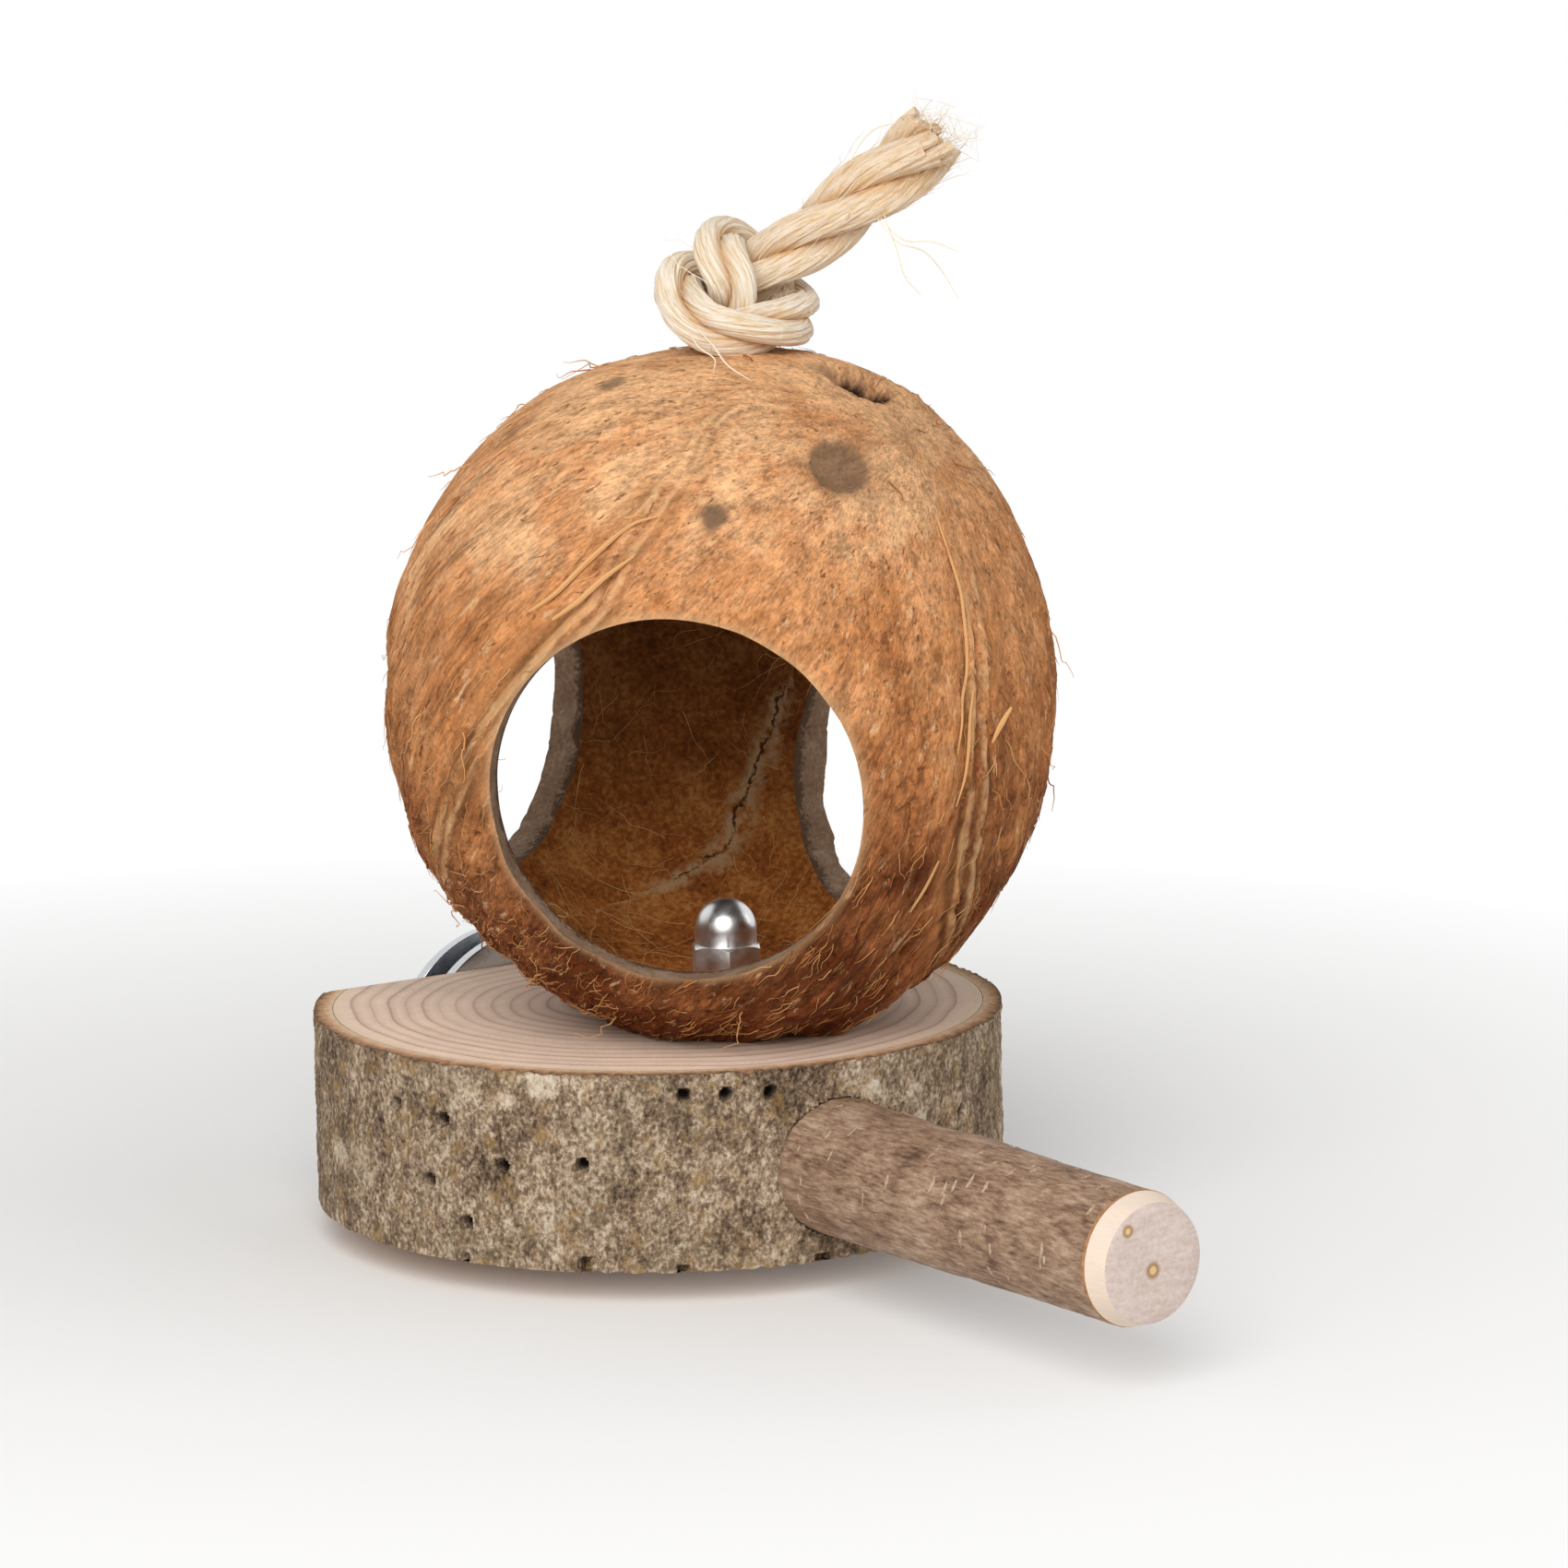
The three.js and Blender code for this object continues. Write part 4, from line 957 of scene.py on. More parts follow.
def coir_husk(coconut):
    """Coconut husk scraped down to its last coir: matt tan fibres above, russet and torn towards the foot,
    where painted shade darkens it further.
    """
    material, tree, shader, place = new_finish("scraped coir husk")
    grain = add_node(tree, "ShaderNodeAttribute", attribute_name="grain", output="Vector")
    grain = add_node(tree, "ShaderNodeVectorMath", {0: grain, "Scale": coconut.radius}, operation="SCALE")
    height = add_node(tree, "ShaderNodeSeparateXYZ", {0: place}, output="Z")
    # Coir is about 0.25 mm thick. Its threads are drawn at 0.45 mm, so that they show.
    threads = mottle(
        tree, grain, (0.45, 0.45, (1, 1, 0.1)), (1.3, 0.4, (1, 1, 0.13)), (4.5, 0.35, (1, 1, 0.3)),
    )
    felt = mottle(tree, place, (0.8, 1, (1, 1, 1)))
    patches = mottle(tree, place, (14, 1, (1, 1, 1)))
    # Darker towards the foot and in patches: the husk's own russet colour, and painted shade that deepens
    # towards the foot.
    low = add_node(tree, "ShaderNodeMapRange", {
        "Value": height, "From Min": 0.11, "From Max": 0.02, "To Min": -0.7, "To Max": 0.3,
    }, clamp=False)
    low = add_node(tree, "ShaderNodeMath", {
        0: patches, 1: 1.4, 2: low,
    }, operation="MULTIPLY_ADD", use_clamp=True)
    base = add_node(tree, "ShaderNodeValToRGB", {"Fac": low}, stops=[
        (0, coconut.tan), (0.18, linear("#D09464")), (0.42, coconut.brown), (0.7, linear("#9C6038")),
        (1, coconut.russet),
    ])
    tone = add_node(tree, "ShaderNodeMath", {0: felt, 1: 0.28, 2: threads}, operation="MULTIPLY_ADD")
    shade = add_node(tree, "ShaderNodeMapRange", {
        "Value": tone, "From Min": 0.61, "From Max": 0.87, "To Min": 0.5, "To Max": 1.46,
    })
    base = add_node(tree, "ShaderNodeVectorMath", {0: base, "Scale": shade}, operation="SCALE")
    crack = mottle(tree, grain, (2.2, 1, (1, 1, 0.16)))
    crack = add_node(tree, "ShaderNodeMath", {0: crack, 1: 0.5, 2: 0.03}, operation="COMPARE")
    torn = add_node(tree, "ShaderNodeMapRange", {
        "Value": low, "From Min": 0.3, "From Max": 0.9, "To Max": 0.6,
    })
    crack = add_node(tree, "ShaderNodeMath", {0: crack, 1: torn}, operation="MULTIPLY")
    nick = spots(tree, grain, 1.1, (1, 1, 0.35), 0.61, 0.67, most=0.75)
    flake = spots(tree, grain, 1.5, (1, 1, 0.28), 0.6, 0.68, most=0.6)
    marks = [(flake, "#EBC497"), (crack, "#4A2610"), (nick, "#6A3F1F")]
    marks = [(mark, linear(code)) for mark, code in marks]
    across = add_node(tree, "ShaderNodeAttribute", attribute_name="across", output="Fac")
    course = mottle(tree, grain, (7, 2.4, (1, 1, 0.35)))
    course = add_node(tree, "ShaderNodeMath", {0: across, 1: course})
    course = add_node(tree, "ShaderNodeMapRange", {"Value": course, "From Min": -3.8, "From Max": 6.2})
    # The dark grooves between the pale cords are painted shade.
    husk, cord, groove_shade = coconut.brown, linear("#DBB283"), linear("#6B4829")
    strands = add_node(tree, "ShaderNodeValToRGB", {"Fac": course}, stops=[
        (0.1, husk), (0.2, groove_shade), (0.25, groove_shade), (0.29, cord), (0.34, cord), (0.42, groove_shade),
        (0.48, groove_shade), (0.52, cord), (0.62, linear("#CDA06C")), (0.66, groove_shade), (0.72, groove_shade),
        (0.82, husk),
    ])
    torn = spots(tree, grain, 4, (1, 1, 0.3), 0.42, 0.56, most=0.62, least=0.1)
    # The stain marks also carry the painted shade round the sunken eyes.
    for name, strength, mark_tone in (
        ("suture", torn, strands), ("rim", 0.5, linear("#CFA77C")), ("stain", 1.0, linear("#6D5744")),
        ("pit", 1.0, linear("#2C170C")),
    ):
        mark = add_node(tree, "ShaderNodeAttribute", attribute_name=name, output="Fac")
        mark = add_node(tree, "ShaderNodeMath", {0: mark, 1: strength}, operation="MULTIPLY", use_clamp=True)
        marks.append((mark, mark_tone))
    set_look(tree, shader, base, marks, tone, 0.8 * MM, 0.9)
    return material


def shell_inside(coconut):
    """Dried brown skin inside a coconut shell: matt, felted, darkened upwards by painted shade, pale where
    flesh is left.
    """
    material, tree, shader, place = new_finish("dried coconut skin")
    felt = mottle(tree, place, (0.9, 0.55, (1, 1, 1)), (9, 0.45, (1, 1, 1)))
    base = add_node(tree, "ShaderNodeValToRGB", {"Fac": felt}, stops=[
        (0.34, linear("#502608")), (0.5, coconut.inside), (0.64, linear("#AE7840")),
    ])
    height = add_node(tree, "ShaderNodeSeparateXYZ", {0: place}, output="Z")
    # Painted shade: the inner wall darkens towards the top, almost to black.
    painted_shade = add_node(tree, "ShaderNodeMapRange", {
        "Value": height, "From Min": 0.096, "From Max": 0.035, "To Min": 0.06, "To Max": 1.4,
    })
    base = add_node(tree, "ShaderNodeVectorMath", {0: base, "Scale": painted_shade}, operation="SCALE")
    residue = add_node(tree, "ShaderNodeAttribute", attribute_name="residue", output="Fac")
    sway = mottle(tree, place, (5, 7, (1, 1, 1)))
    sway = add_node(tree, "ShaderNodeMath", {0: sway, 1: -3.5})
    residue = add_node(tree, "ShaderNodeMath", {0: residue, 1: sway})
    residue = add_node(tree, "ShaderNodeMath", {0: residue}, operation="ABSOLUTE")
    crumbs = spots(tree, place, 2.2, (1, 1, 1), 0.38, 0.52)
    broken = spots(tree, place, 5, (1, 1, 1), 0.46, 0.54)
    tints = []
    for start, end, mask, code in ((2.6, 0.9, crumbs, "#C09A70"), (0.45, 0.15, broken, "#2C1206")):
        line = add_node(tree, "ShaderNodeMapRange", {
            "Value": residue, "From Min": start, "From Max": end, "To Max": 0.9,
        })
        line = add_node(tree, "ShaderNodeMath", {0: line, 1: mask}, operation="MULTIPLY")
        tints.append((line, linear(code)))
    set_look(tree, shader, base, tints, felt, 0.6 * MM)
    return material


def sawn_shell(coconut):
    """Coconut shell cut with a hole saw: hard, grey-brown, finely scored, dark at its fibrous inner edge."""
    material, tree, shader, place = new_finish("sawn coconut shell")
    depth = add_node(tree, "ShaderNodeAttribute", attribute_name="depth", output="Fac")
    # The saw's scores are about 0.2 mm wide. They are drawn at 0.7 mm, so that they show.
    scores = mottle(tree, place, (0.7, 0.5, (1, 1, 1)), (5, 0.5, (1, 1, 1)))
    ragged = add_node(tree, "ShaderNodeMath", {0: scores, 1: 1.4, 2: depth}, operation="MULTIPLY_ADD")
    base = add_node(tree, "ShaderNodeValToRGB", {"Fac": scores}, stops=[
        (0.3, linear("#6E5646")), (0.5, coconut.cut), (0.7, linear("#BCA48F")),
    ])
    inner = add_node(tree, "ShaderNodeMapRange", {
        "Value": ragged, "From Min": 0.8, "From Max": 1.0, "To Min": 0.85, "To Max": 0.0,
    })
    set_look(tree, shader, base, [(inner, linear("#4B3524"))], scores, 0.15 * MM, 0.7)
    return material


def fibre_finish(name, codes, roughness=0.6):
    """Single plant fibres, coir or sisal: stiff, slightly glossy hairs, each with its own shade."""
    material, tree, shader, _ = new_finish(name)
    own = add_node(tree, "ShaderNodeAttribute", attribute_name="fibre", output="Fac")
    base = add_node(tree, "ShaderNodeValToRGB", {"Fac": own}, stops=[
        (i / (len(codes) - 1), code) for i, code in enumerate(codes)
    ])
    set_look(tree, shader, base, roughness=roughness)
    return material


def suture_fibre(course, coconut):
    """Route of a fibre that lies on the husk, by turns in degrees and heights in mm."""
    turn, height = np.array(course, float).T
    turn, height = np.radians(turn), height * MM
    level = coconut.radius * np.sqrt(1 - (height / coconut.rise) ** 2)
    points = np.stack([level * np.sin(turn), -level * np.cos(turn), height], axis=1)
    direction = units(smooth_route(points, 5 * STRAY_STEP))
    lifted = direction * (husk_distance(direction, coconut) + SUTURE_FIBRE_LIFT)[:, None]
    return smooth_route(nut_middle(coconut) + lifted, STRAY_STEP)


class BIRDHOUSE_OT_coconut(bpy.types.Operator):
    """Make the drilled coconut shell and its loose coir"""

    bl_idname = "bird_house.coconut"
    bl_label = "Coconut"

    def execute(self, context):
        coconut = context.scene.bird_house_coconut
        shell = make_shell(coconut, [coir_husk(coconut), shell_inside(coconut), sawn_shell(coconut)])
        mark_shell(shell, coconut)
        fibres = fibre_tree()
        coir = fibre_finish("loose coir", [linear("#7A4722"), coconut.fibre, linear("#DBAA72")])
        golden = fibre_finish("inner hair", [linear("#7A4C24"), linear("#B88248"), linear("#DDB478")])
        combed = grow(
            "coir_combed", faces_with(shell, "combed", HUSK), fibres, density=1.8e5, shortest=1.5 * MM,
            longest=5.5 * MM, thickness=0.07 * MM, lift=0.15, spread=0.45, curl=6 * MM, waves=1 / (4 * MM),
            hug=0.8, seed=3, material=coir,
        )
        shaggy = grow(
            "coir_shaggy", faces_with(shell, "shaggy", HUSK), fibres, density=1.1e4, shortest=4 * MM,
            longest=11 * MM, thickness=0.13 * MM, lift=0.5, spread=0.7, curl=14 * MM, waves=1 / (5 * MM),
            hug=0.6, seed=8, material=coir,
        )
        hairs = grow(
            "inner_hairs", faces_with(shell, "hairs", INSIDE), fibres, density=8.0e4, shortest=3 * MM,
            longest=13 * MM, thickness=0.06 * MM, lift=0.1, spread=1.6, curl=14 * MM, waves=1 / (7 * MM),
            hug=0.85, seed=5, material=golden,
        )
        routes = [smooth_route(nut_middle(coconut) + np.array(stray) * MM, STRAY_STEP) for stray in STRAYS]
        routes += [suture_fibre(course, coconut) for course in SUTURE_FIBRES]
        radii = [STRAY_RADIUS] * len(STRAYS) + [SUTURE_FIBRE_RADIUS] * len(SUTURE_FIBRES)
        strays = tubes("coir_strays", routes, radii, coir)
        store(strays.data, fibre=[0.9] * len(strays.data.vertices))
        hand_in(shell, "nest", "coconut_husk", "coconut_shell")
        for piece in (combed, shaggy, hairs, strays):
            hand_in(piece, "nest", "coconut_husk")
        return {"FINISHED"}


# Rope


def rope_route(coconut, step):
    """The rope's middle line, from the stop knot, which is the top knot turned over, to the frayed end."""
    middle = nut_middle(coconut)
    outer_seat = shell_top(coconut) + KNOT_LIFT
    inner_seat = middle[2] + coconut.rise - coconut.wall - STOP_KNOT_DROP
    knot = (np.array(KNOT_ROUTE) * KNOT_PULL).tolist()
    inside = [(x, y, inner_seat - z) for x, y, z in knot + STOP_TAIL_ROUTE]
    outside = [(x, y, outer_seat + z) for x, y, z in knot + TAIL_ROUTE]
    neck = [(0, 0, (inner_seat + outer_seat) / 2)]
    points = np.array(inside[::-1] + neck + outside)
    turn = np.array(Matrix.Rotation(ROPE_TURN, 3, "Z"))
    return smooth_route(points @ turn.T + np.array([NEST_X, NEST_Y, 0]), step)


def shell_top(coconut):
    """Height of the solid nut's top under the knot."""
    top = coconut.rise + STEM_END_RISE * bump(EYE_AXIS_TILT, STEM_END_WIDTH)
    top -= NUT_TRIGON * math.sin(EYE_AXIS_TILT) ** 2 + coconut.knot_seat
    for eye, _ in eye_directions():
        apart = float(angle_to(UP[None], eye)[0]) * coconut.radius
        top -= SOLID_EYE_DEPTH * bump(apart, coconut.eye_radius)
    return float(nut_middle(coconut)[2] + top)


def rope_base(route, rope):
    """The route as a chain of edges that carries the strands' and yarns' frames and sizes."""
    ahead, side, over = route_frames(route)
    along = np.concatenate([[0], np.cumsum(np.linalg.norm(np.diff(route, axis=0), axis=1))])
    yarn_share, strand_reach, yarn_reach, loosening = 0.16, 0.5, 0.34, 0.6
    loose = np.clip((along - along[-1]) / rope.fray + 1, 0, 1) ** loosening
    radius = rope.radius + (rope.end_radius - rope.radius) * loose
    base = bpy.data.meshes.new("route")
    base.from_pydata(route.tolist(), [(i, i + 1) for i in range(len(route) - 1)], [])
    store(base, flow=ahead, loose=loose, along=along, thick=yarn_share * radius)
    for name, lay, reach in (("strand", rope.lay, strand_reach), ("yarn", -rope.yarn_lay, yarn_reach)):
        turn = 2 * math.pi * along / lay
        cosine, sine, reach = np.cos(turn)[:, None], np.sin(turn)[:, None], (reach * radius)[:, None]
        frames = {name + "_side": reach * (cosine * side + sine * over),
                  name + "_over": reach * (cosine * over - sine * side)}
        store(base, **frames)
    return base, float(along[-1])


def sisal(rope):
    """Sisal: straight cream fibres with a soft sheen, with painted shade in straw colour in the hollows
    between the yarns.
    """
    material, tree, shader, _ = new_finish("laid sisal")
    around = add_node(tree, "ShaderNodeAttribute", attribute_name="around", output="Vector")
    along = add_node(tree, "ShaderNodeAttribute", attribute_name="along", output="Fac")
    yarn = add_node(tree, "ShaderNodeAttribute", attribute_name="yarn", output="Fac")
    step = add_node(tree, "ShaderNodeMath", {0: along, 1: 0.1}, operation="MULTIPLY")
    step = add_node(tree, "ShaderNodeMath", {0: yarn, 1: 5.3, 2: step}, operation="MULTIPLY_ADD")
    drawn = add_node(tree, "ShaderNodeCombineXYZ", {"Z": step})
    around = add_node(tree, "ShaderNodeVectorMath", {0: around, "Scale": 0.6 * MM}, operation="SCALE")
    drawn = add_node(tree, "ShaderNodeVectorMath", {0: drawn, 1: around})
    # Sisal fibres are about 0.2 mm thick. They are drawn at 0.28 mm, so that they show.
    fibres = mottle(tree, drawn, (0.28, 1, (1, 1, 1)))
    base = add_node(tree, "ShaderNodeValToRGB", {"Fac": fibres}, stops=[
        (0.25, linear("#C9A473")), (0.4, linear("#DEC29A")), (0.5, linear("#F0E0C8")), (0.62, rope.cream),
    ])
    # Painted shade: straw colour where the yarns lie nearest the rope's middle, in the hollows between them.
    crest = add_node(tree, "ShaderNodeAttribute", attribute_name="crest", output="Fac")
    hollow = add_node(tree, "ShaderNodeMapRange", {
        "Value": crest, "From Min": 4.3, "From Max": 2.6, "To Max": 0.8,
    })
    loose = add_node(tree, "ShaderNodeAttribute", attribute_name="loose", output="Fac")
    loose = add_node(tree, "ShaderNodeMath", {0: loose, 1: 0.4}, operation="MULTIPLY")
    set_look(tree, shader, base, [(loose, rope.straw), (hollow, rope.straw)], fibres, 0.35 * MM, 0.6)
    shader.inputs["Sheen Weight"].default_value = 0.2
    return material


class BIRDHOUSE_OT_rope(bpy.types.Operator):
    """Make the knotted sisal rope and its frayed fibres"""

    bl_idname = "bird_house.rope"
    bl_label = "Sisal rope"

    def execute(self, context):
        rope = context.scene.bird_house_rope
        coconut = context.scene.bird_house_coconut
        route = rope_route(coconut, ROPE_STEP)
        base, span = rope_base(route, rope)
        laid = grow(
            "sisal_rope_laid", base, rope_tree(), strands=rope.strands, yarns=rope.yarns, slack=0.9 * MM,
            waves=1 / (9 * MM), shortest=0.982, seed=2, material=sisal(rope),
        )
        loose = np.array([value.value for value in laid.data.attributes["loose"].data])
        store(laid.data, shag=0.03 + 0.97 * loose ** 4)
        hair = fibre_finish("sisal fibre", [rope.straw, linear("#F0DEC0"), rope.cream], 0.5)
        fray = grow(
            "sisal_fray", laid.data.copy(), fibre_tree(), density=1.6e5, shortest=2 * MM, longest=8 * MM,
            thickness=0.06 * MM, lift=0.2, spread=0.35, curl=4 * MM, waves=1 / (5 * MM), hug=0.0, seed=4,
            material=hair,
        )
        turn = np.array(Matrix.Rotation(ROPE_TURN, 3, "Z"))
        seat = np.array([NEST_X, NEST_Y, shell_top(coconut) + KNOT_LIFT])
        routes = [smooth_route(seat + np.array(stray) @ turn.T * MM, STRAY_STEP) for stray in ROPE_STRAYS]
        strays = tubes("sisal_strays", routes, [ROPE_STRAY_RADIUS] * len(routes), hair)
        store(strays.data, fibre=[0.8] * len(strays.data.vertices))
        hand_in(laid, "nest", "sisal", "sisal_rope")
        hand_in(fray, "nest", "sisal")
        hand_in(strays, "nest", "sisal")
        shell_top(coconut)
        return {"FINISHED"}


# Log slice


def slice_wood(settings):
    """Sanded end grain of a ring-porous log: pinkish beige, with thin dark late wood lines round the pith."""
    material, tree, shader, place = new_finish("sanded end grain")
    pith = (0, BOARD_BACK - settings.back_depth, 0)
    place = add_node(tree, "ShaderNodeVectorMath", {0: place, 1: pith}, operation="SUBTRACT")
    level = add_node(tree, "ShaderNodeVectorMath", {0: place, 1: (1, 1, 0)}, operation="MULTIPLY")
    sway = add_node(tree, "ShaderNodeTexNoise", {"Vector": place, "Scale": 1 / (26 * MM), "Detail": 0.6})
    reach = add_node(tree, "ShaderNodeVectorMath", {0: level}, operation="LENGTH", output="Value")
    reach = add_node(tree, "ShaderNodeMath", {0: sway, 1: 7 * MM, 2: reach}, operation="MULTIPLY_ADD")
    rings = add_node(tree, "ShaderNodeMath", {0: reach, 1: settings.ring}, operation="DIVIDE")
    phase = add_node(tree, "ShaderNodeMath", {0: rings}, operation="FRACT")
    year = add_node(tree, "ShaderNodeMath", {0: rings}, operation="FLOOR")
    luck = add_node(tree, "ShaderNodeTexWhiteNoise", {"W": year}, noise_dimensions="1D", output="Value")
    year_course = [(0, 0.3), (0.4, 0.05), (0.75, 0.4), (0.9, 1.0), (1, 0.3)]
    late = add_node(tree, "ShaderNodeValToRGB", {"Fac": phase}, stops=[
        (share, (dark, dark, dark, 1)) for share, dark in year_course
    ])
    strong = add_node(tree, "ShaderNodeMapRange", {"Value": luck, "To Min": 0.3, "To Max": 0.9})
    late = add_node(tree, "ShaderNodeMath", {0: late, 1: strong}, operation="MULTIPLY")
    # Pores are about 0.2 mm wide. They are drawn at 0.5 mm, so that they show.
    shade = mottle(tree, place, (0.5, 0.4, (1, 1, 0.1)), (3, 0.3, (1, 1, 0.1)), (20, 0.3, (1, 1, 0.1)))
    base = add_node(tree, "ShaderNodeMix", {
        "Factor_Float": late, "A_Color": settings.early_wood, "B_Color": settings.late_wood,
    }, data_type="RGBA")
    tone = add_node(tree, "ShaderNodeMapRange", {
        "Value": shade, "From Min": 0.35, "From Max": 0.65, "To Min": 0.84, "To Max": 1.14,
    })
    base = add_node(tree, "ShaderNodeVectorMath", {0: base, "Scale": tone}, operation="SCALE")
    rim = add_node(tree, "ShaderNodeMapRange", {
        "Value": reach, "From Min": settings.radius - 1.5 * MM, "From Max": settings.radius + 2 * MM,
        "To Max": 0.8,
    })
    set_look(tree, shader, base, [(rim, linear("#EACFAF"))], shade, 0.1 * MM, 0.7)
    return material


def slice_bark(settings):
    """Old smooth bark: grey-brown, mottled with pale lichen specks, darker in its hollows and worm holes."""
    material, tree, shader, place = new_finish("lichened bark")
    bore = add_node(tree, "ShaderNodeAttribute", attribute_name="bore", output="Fac")
    pale = add_node(tree, "ShaderNodeAttribute", attribute_name="pale", output="Fac")
    specks = mottle(tree, place, (0.6, 0.42, (1, 1, 0.8)), (1.7, 0.27, (1, 1, 0.7)), (9, 0.31, (1, 1, 0.7)))
    lit = add_node(tree, "ShaderNodeMath", {0: pale, 1: 0.1, 2: specks}, operation="MULTIPLY_ADD")
    base = add_node(tree, "ShaderNodeValToRGB", {"Fac": lit}, stops=[
        (0.395, settings.bark_dark), (0.455, linear("#6B5847")), (0.508, settings.bark_mid),
        (0.56, linear("#BAA58D")), (0.625, settings.lichen),
    ])
    green = spots(tree, place, 15, (1, 1, 1), 0.5, 0.66, most=0.2)
    ochre = spots(tree, place, 3.2, (1, 1, 1), 0.54, 0.66, most=0.5)
    stains = [(green, "#66624A"), (ochre, "#A07F4C"), (bore, "#1C130C")]
    set_look(tree, shader, base, [(mask, linear(code)) for mask, code in stains], specks, 0.9 * MM, 0.9)
    return material


def sawn_bast(settings):
    """Sawn edge of the bark: orange-tan bast, crumbly and dark towards the outside."""
    material, tree, shader, place = new_finish("sawn bast")
    crust = add_node(tree, "ShaderNodeAttribute", attribute_name="crust", output="Fac")
    crumbs = mottle(tree, place, (1.2, 1, (1, 1, 1)))
    edge = add_node(tree, "ShaderNodeMath", {0: crumbs, 1: 1.1, 2: crust}, operation="MULTIPLY_ADD")
    edge = add_node(tree, "ShaderNodeMapRange", {"Value": edge, "From Min": 0.5, "From Max": 1.6})
    base = add_node(tree, "ShaderNodeValToRGB", {"Fac": edge}, stops=[
        (0, linear("#EAD2B6")), (0.35, settings.bast), (0.75, linear("#A07A58")), (1, linear("#5E4A3A")),
    ])
    set_look(tree, shader, base, (), crumbs, 0.3 * MM)
    return material


def arc_distance(turn, degrees, settings):
    """Distance along the bark, in mm, from a place given in degrees."""
    return (turn - math.radians(degrees)) * settings.radius / MM


def make_bark(settings, *materials):
    """The band of bark: rough outside, with worm holes, chips and a flat spot for the perch."""
    arc_steps, height_steps, depth_steps = 620, 72, 7
    rise = np.linspace(0, 1, height_steps + 1)
    inwards = np.linspace(0, 1, depth_steps + 1)[1:-1]
    depth = np.concatenate([0 * rise, inwards, 0 * rise + 1, inwards[::-1]])
    height = np.concatenate([rise, 0 * inwards + 1, rise[::-1], 0 * inwards])
    radius = settings.radius - depth * (settings.bark + 0.1 * MM)
    half = math.pi / 2 + np.arcsin(settings.back_depth / radius)
    turn = np.linspace(-1, 1, arc_steps + 1)[:, None] * half
    z = BOARD_BOTTOM + (BOARD_TOP - BOARD_BOTTOM) * height + 0 * turn
    place = np.stack([settings.radius * np.sin(turn), -settings.radius * np.cos(turn), z], axis=-1) / MM
    lumps = smooth_noise(place / 9)
    grit = smooth_noise(place / 1.5)
    skin = (depth == 0) & (height > 0) & (height < 1)
    out = np.where(skin, 0.25 * lumps + 0.22 * grit - 0.15, -0.1 * (1 - depth))
    level = z / MM
    bore, pale, chip = np.zeros((3, *turn.shape))
    for degrees, at in WORM_HOLES:
        reach = np.hypot(arc_distance(turn, degrees, settings), level - at) + 0.15 * grit
        bore = np.maximum(bore, fade(reach, WORM_HOLE_RADIUS + 0.2, WORM_HOLE_RADIUS - 0.25))
    for degrees, at, size in PALE_PATCHES:
        reach = np.hypot(arc_distance(turn, degrees, settings), 1.3 * (level - at)) / size
        pale = np.maximum(pale, fade(reach + 0.6 * lumps + 0.5 * grit, 1.2, 0.5))
    for degrees, wide, tall in CHIPS:
        reach = np.abs(arc_distance(turn, degrees, settings)) / wide
        chip = np.maximum(chip, fade(reach, 1.2, 0.8) * fade(level - BOARD_BOTTOM / MM, tall + 0.4, tall))
    out = (out - np.where(depth == 0, WORM_HOLE_DEPTH * bore + CHIP_DEPTH * chip, 0)) * MM
    crumbled = 0.35
    ragged = 0.4 * np.where(depth < crumbled, 1 - depth / crumbled, 0) * fade(grit + lumps, -0.2, 0.8) * MM
    z = z - np.where(height == 1, ragged, 0) + np.where(height == 0, ragged, 0)
    pith = BOARD_BACK - settings.back_depth
    x = (radius + out) * np.sin(turn)
    y = pith - (radius + out) * np.cos(turn)
    seat = np.hypot(x - PERCH_X, z - PERCH_Z) < bpy.context.scene.bird_house_perch.radius - 0.15 * MM
    y = np.where(seat & (y < pith), np.maximum(y, PERCH_BUTT + 0.05 * MM), y)
    points = np.stack([x, np.minimum(y, BOARD_BACK), z], axis=-1).reshape(-1, 3)
    loop = len(depth)
    faces = grid_faces(arc_steps + 1, loop, wrap=True)
    finish = np.where(depth[faces % loop].mean(axis=1) < 0.01, 0, 1)
    ends = [range(loop), range(arc_steps * loop, (arc_steps + 1) * loop)[::-1]]
    bark = new_piece("slice_bark", points, [*faces, *ends], *materials, finish=[*finish, 1, 1], merge=False)
    store(bark.data, bore=bore.ravel(), pale=pale.ravel(), crust=(0 * turn + 1 - depth).ravel())
    return bark


def make_core(settings, fixing, perch, material):
    """The slice's wood inside the bark, with its bores and a flat spot for the perch."""
    pith = BOARD_BACK - settings.back_depth
    thick = BOARD_TOP - BOARD_BOTTOM
    wide = 2 * settings.radius
    radius = settings.radius - settings.bark
    core = rod("slice_wood", (0, pith, BOARD_BOTTOM), UP, thick, radius, 220, material)
    bore = fixing.thread_radius + fixing.bore_gap
    neck, neck_top = 3.5 * MM, BOARD_BOTTOM + 4.3 * MM
    hanger_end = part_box("hanger_bolt")[0].y - fixing.bore_gap
    screw_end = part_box("perch_screw")[1].y + fixing.bore_gap
    seat = PERCH_BUTT + fixing.bore_gap
    carve(core, [
        block("back", (-wide, BOARD_BACK, -wide), (wide, wide, wide), material),
        rod("bolt_bore", (NEST_X, NEST_Y, -thick), UP, 2 * thick, bore, 32, material),
        rod("hanger_bore", (0, hanger_end, 0), BACK, wide, bore, 32, material),
        rod("screw_bore", (PERCH_X, screw_end, PERCH_Z), -BACK, wide, bore, 32, material),
        rod("seat", (PERCH_X, seat, PERCH_Z), -BACK, wide, perch.radius + fixing.bore_gap, 64, material),
        block("neck", (NEST_X - neck, NEST_Y - neck, -wide),
              (NEST_X + neck, NEST_Y + neck, neck_top), material),
    ])
    return bevel(core, settings.edge, 50)


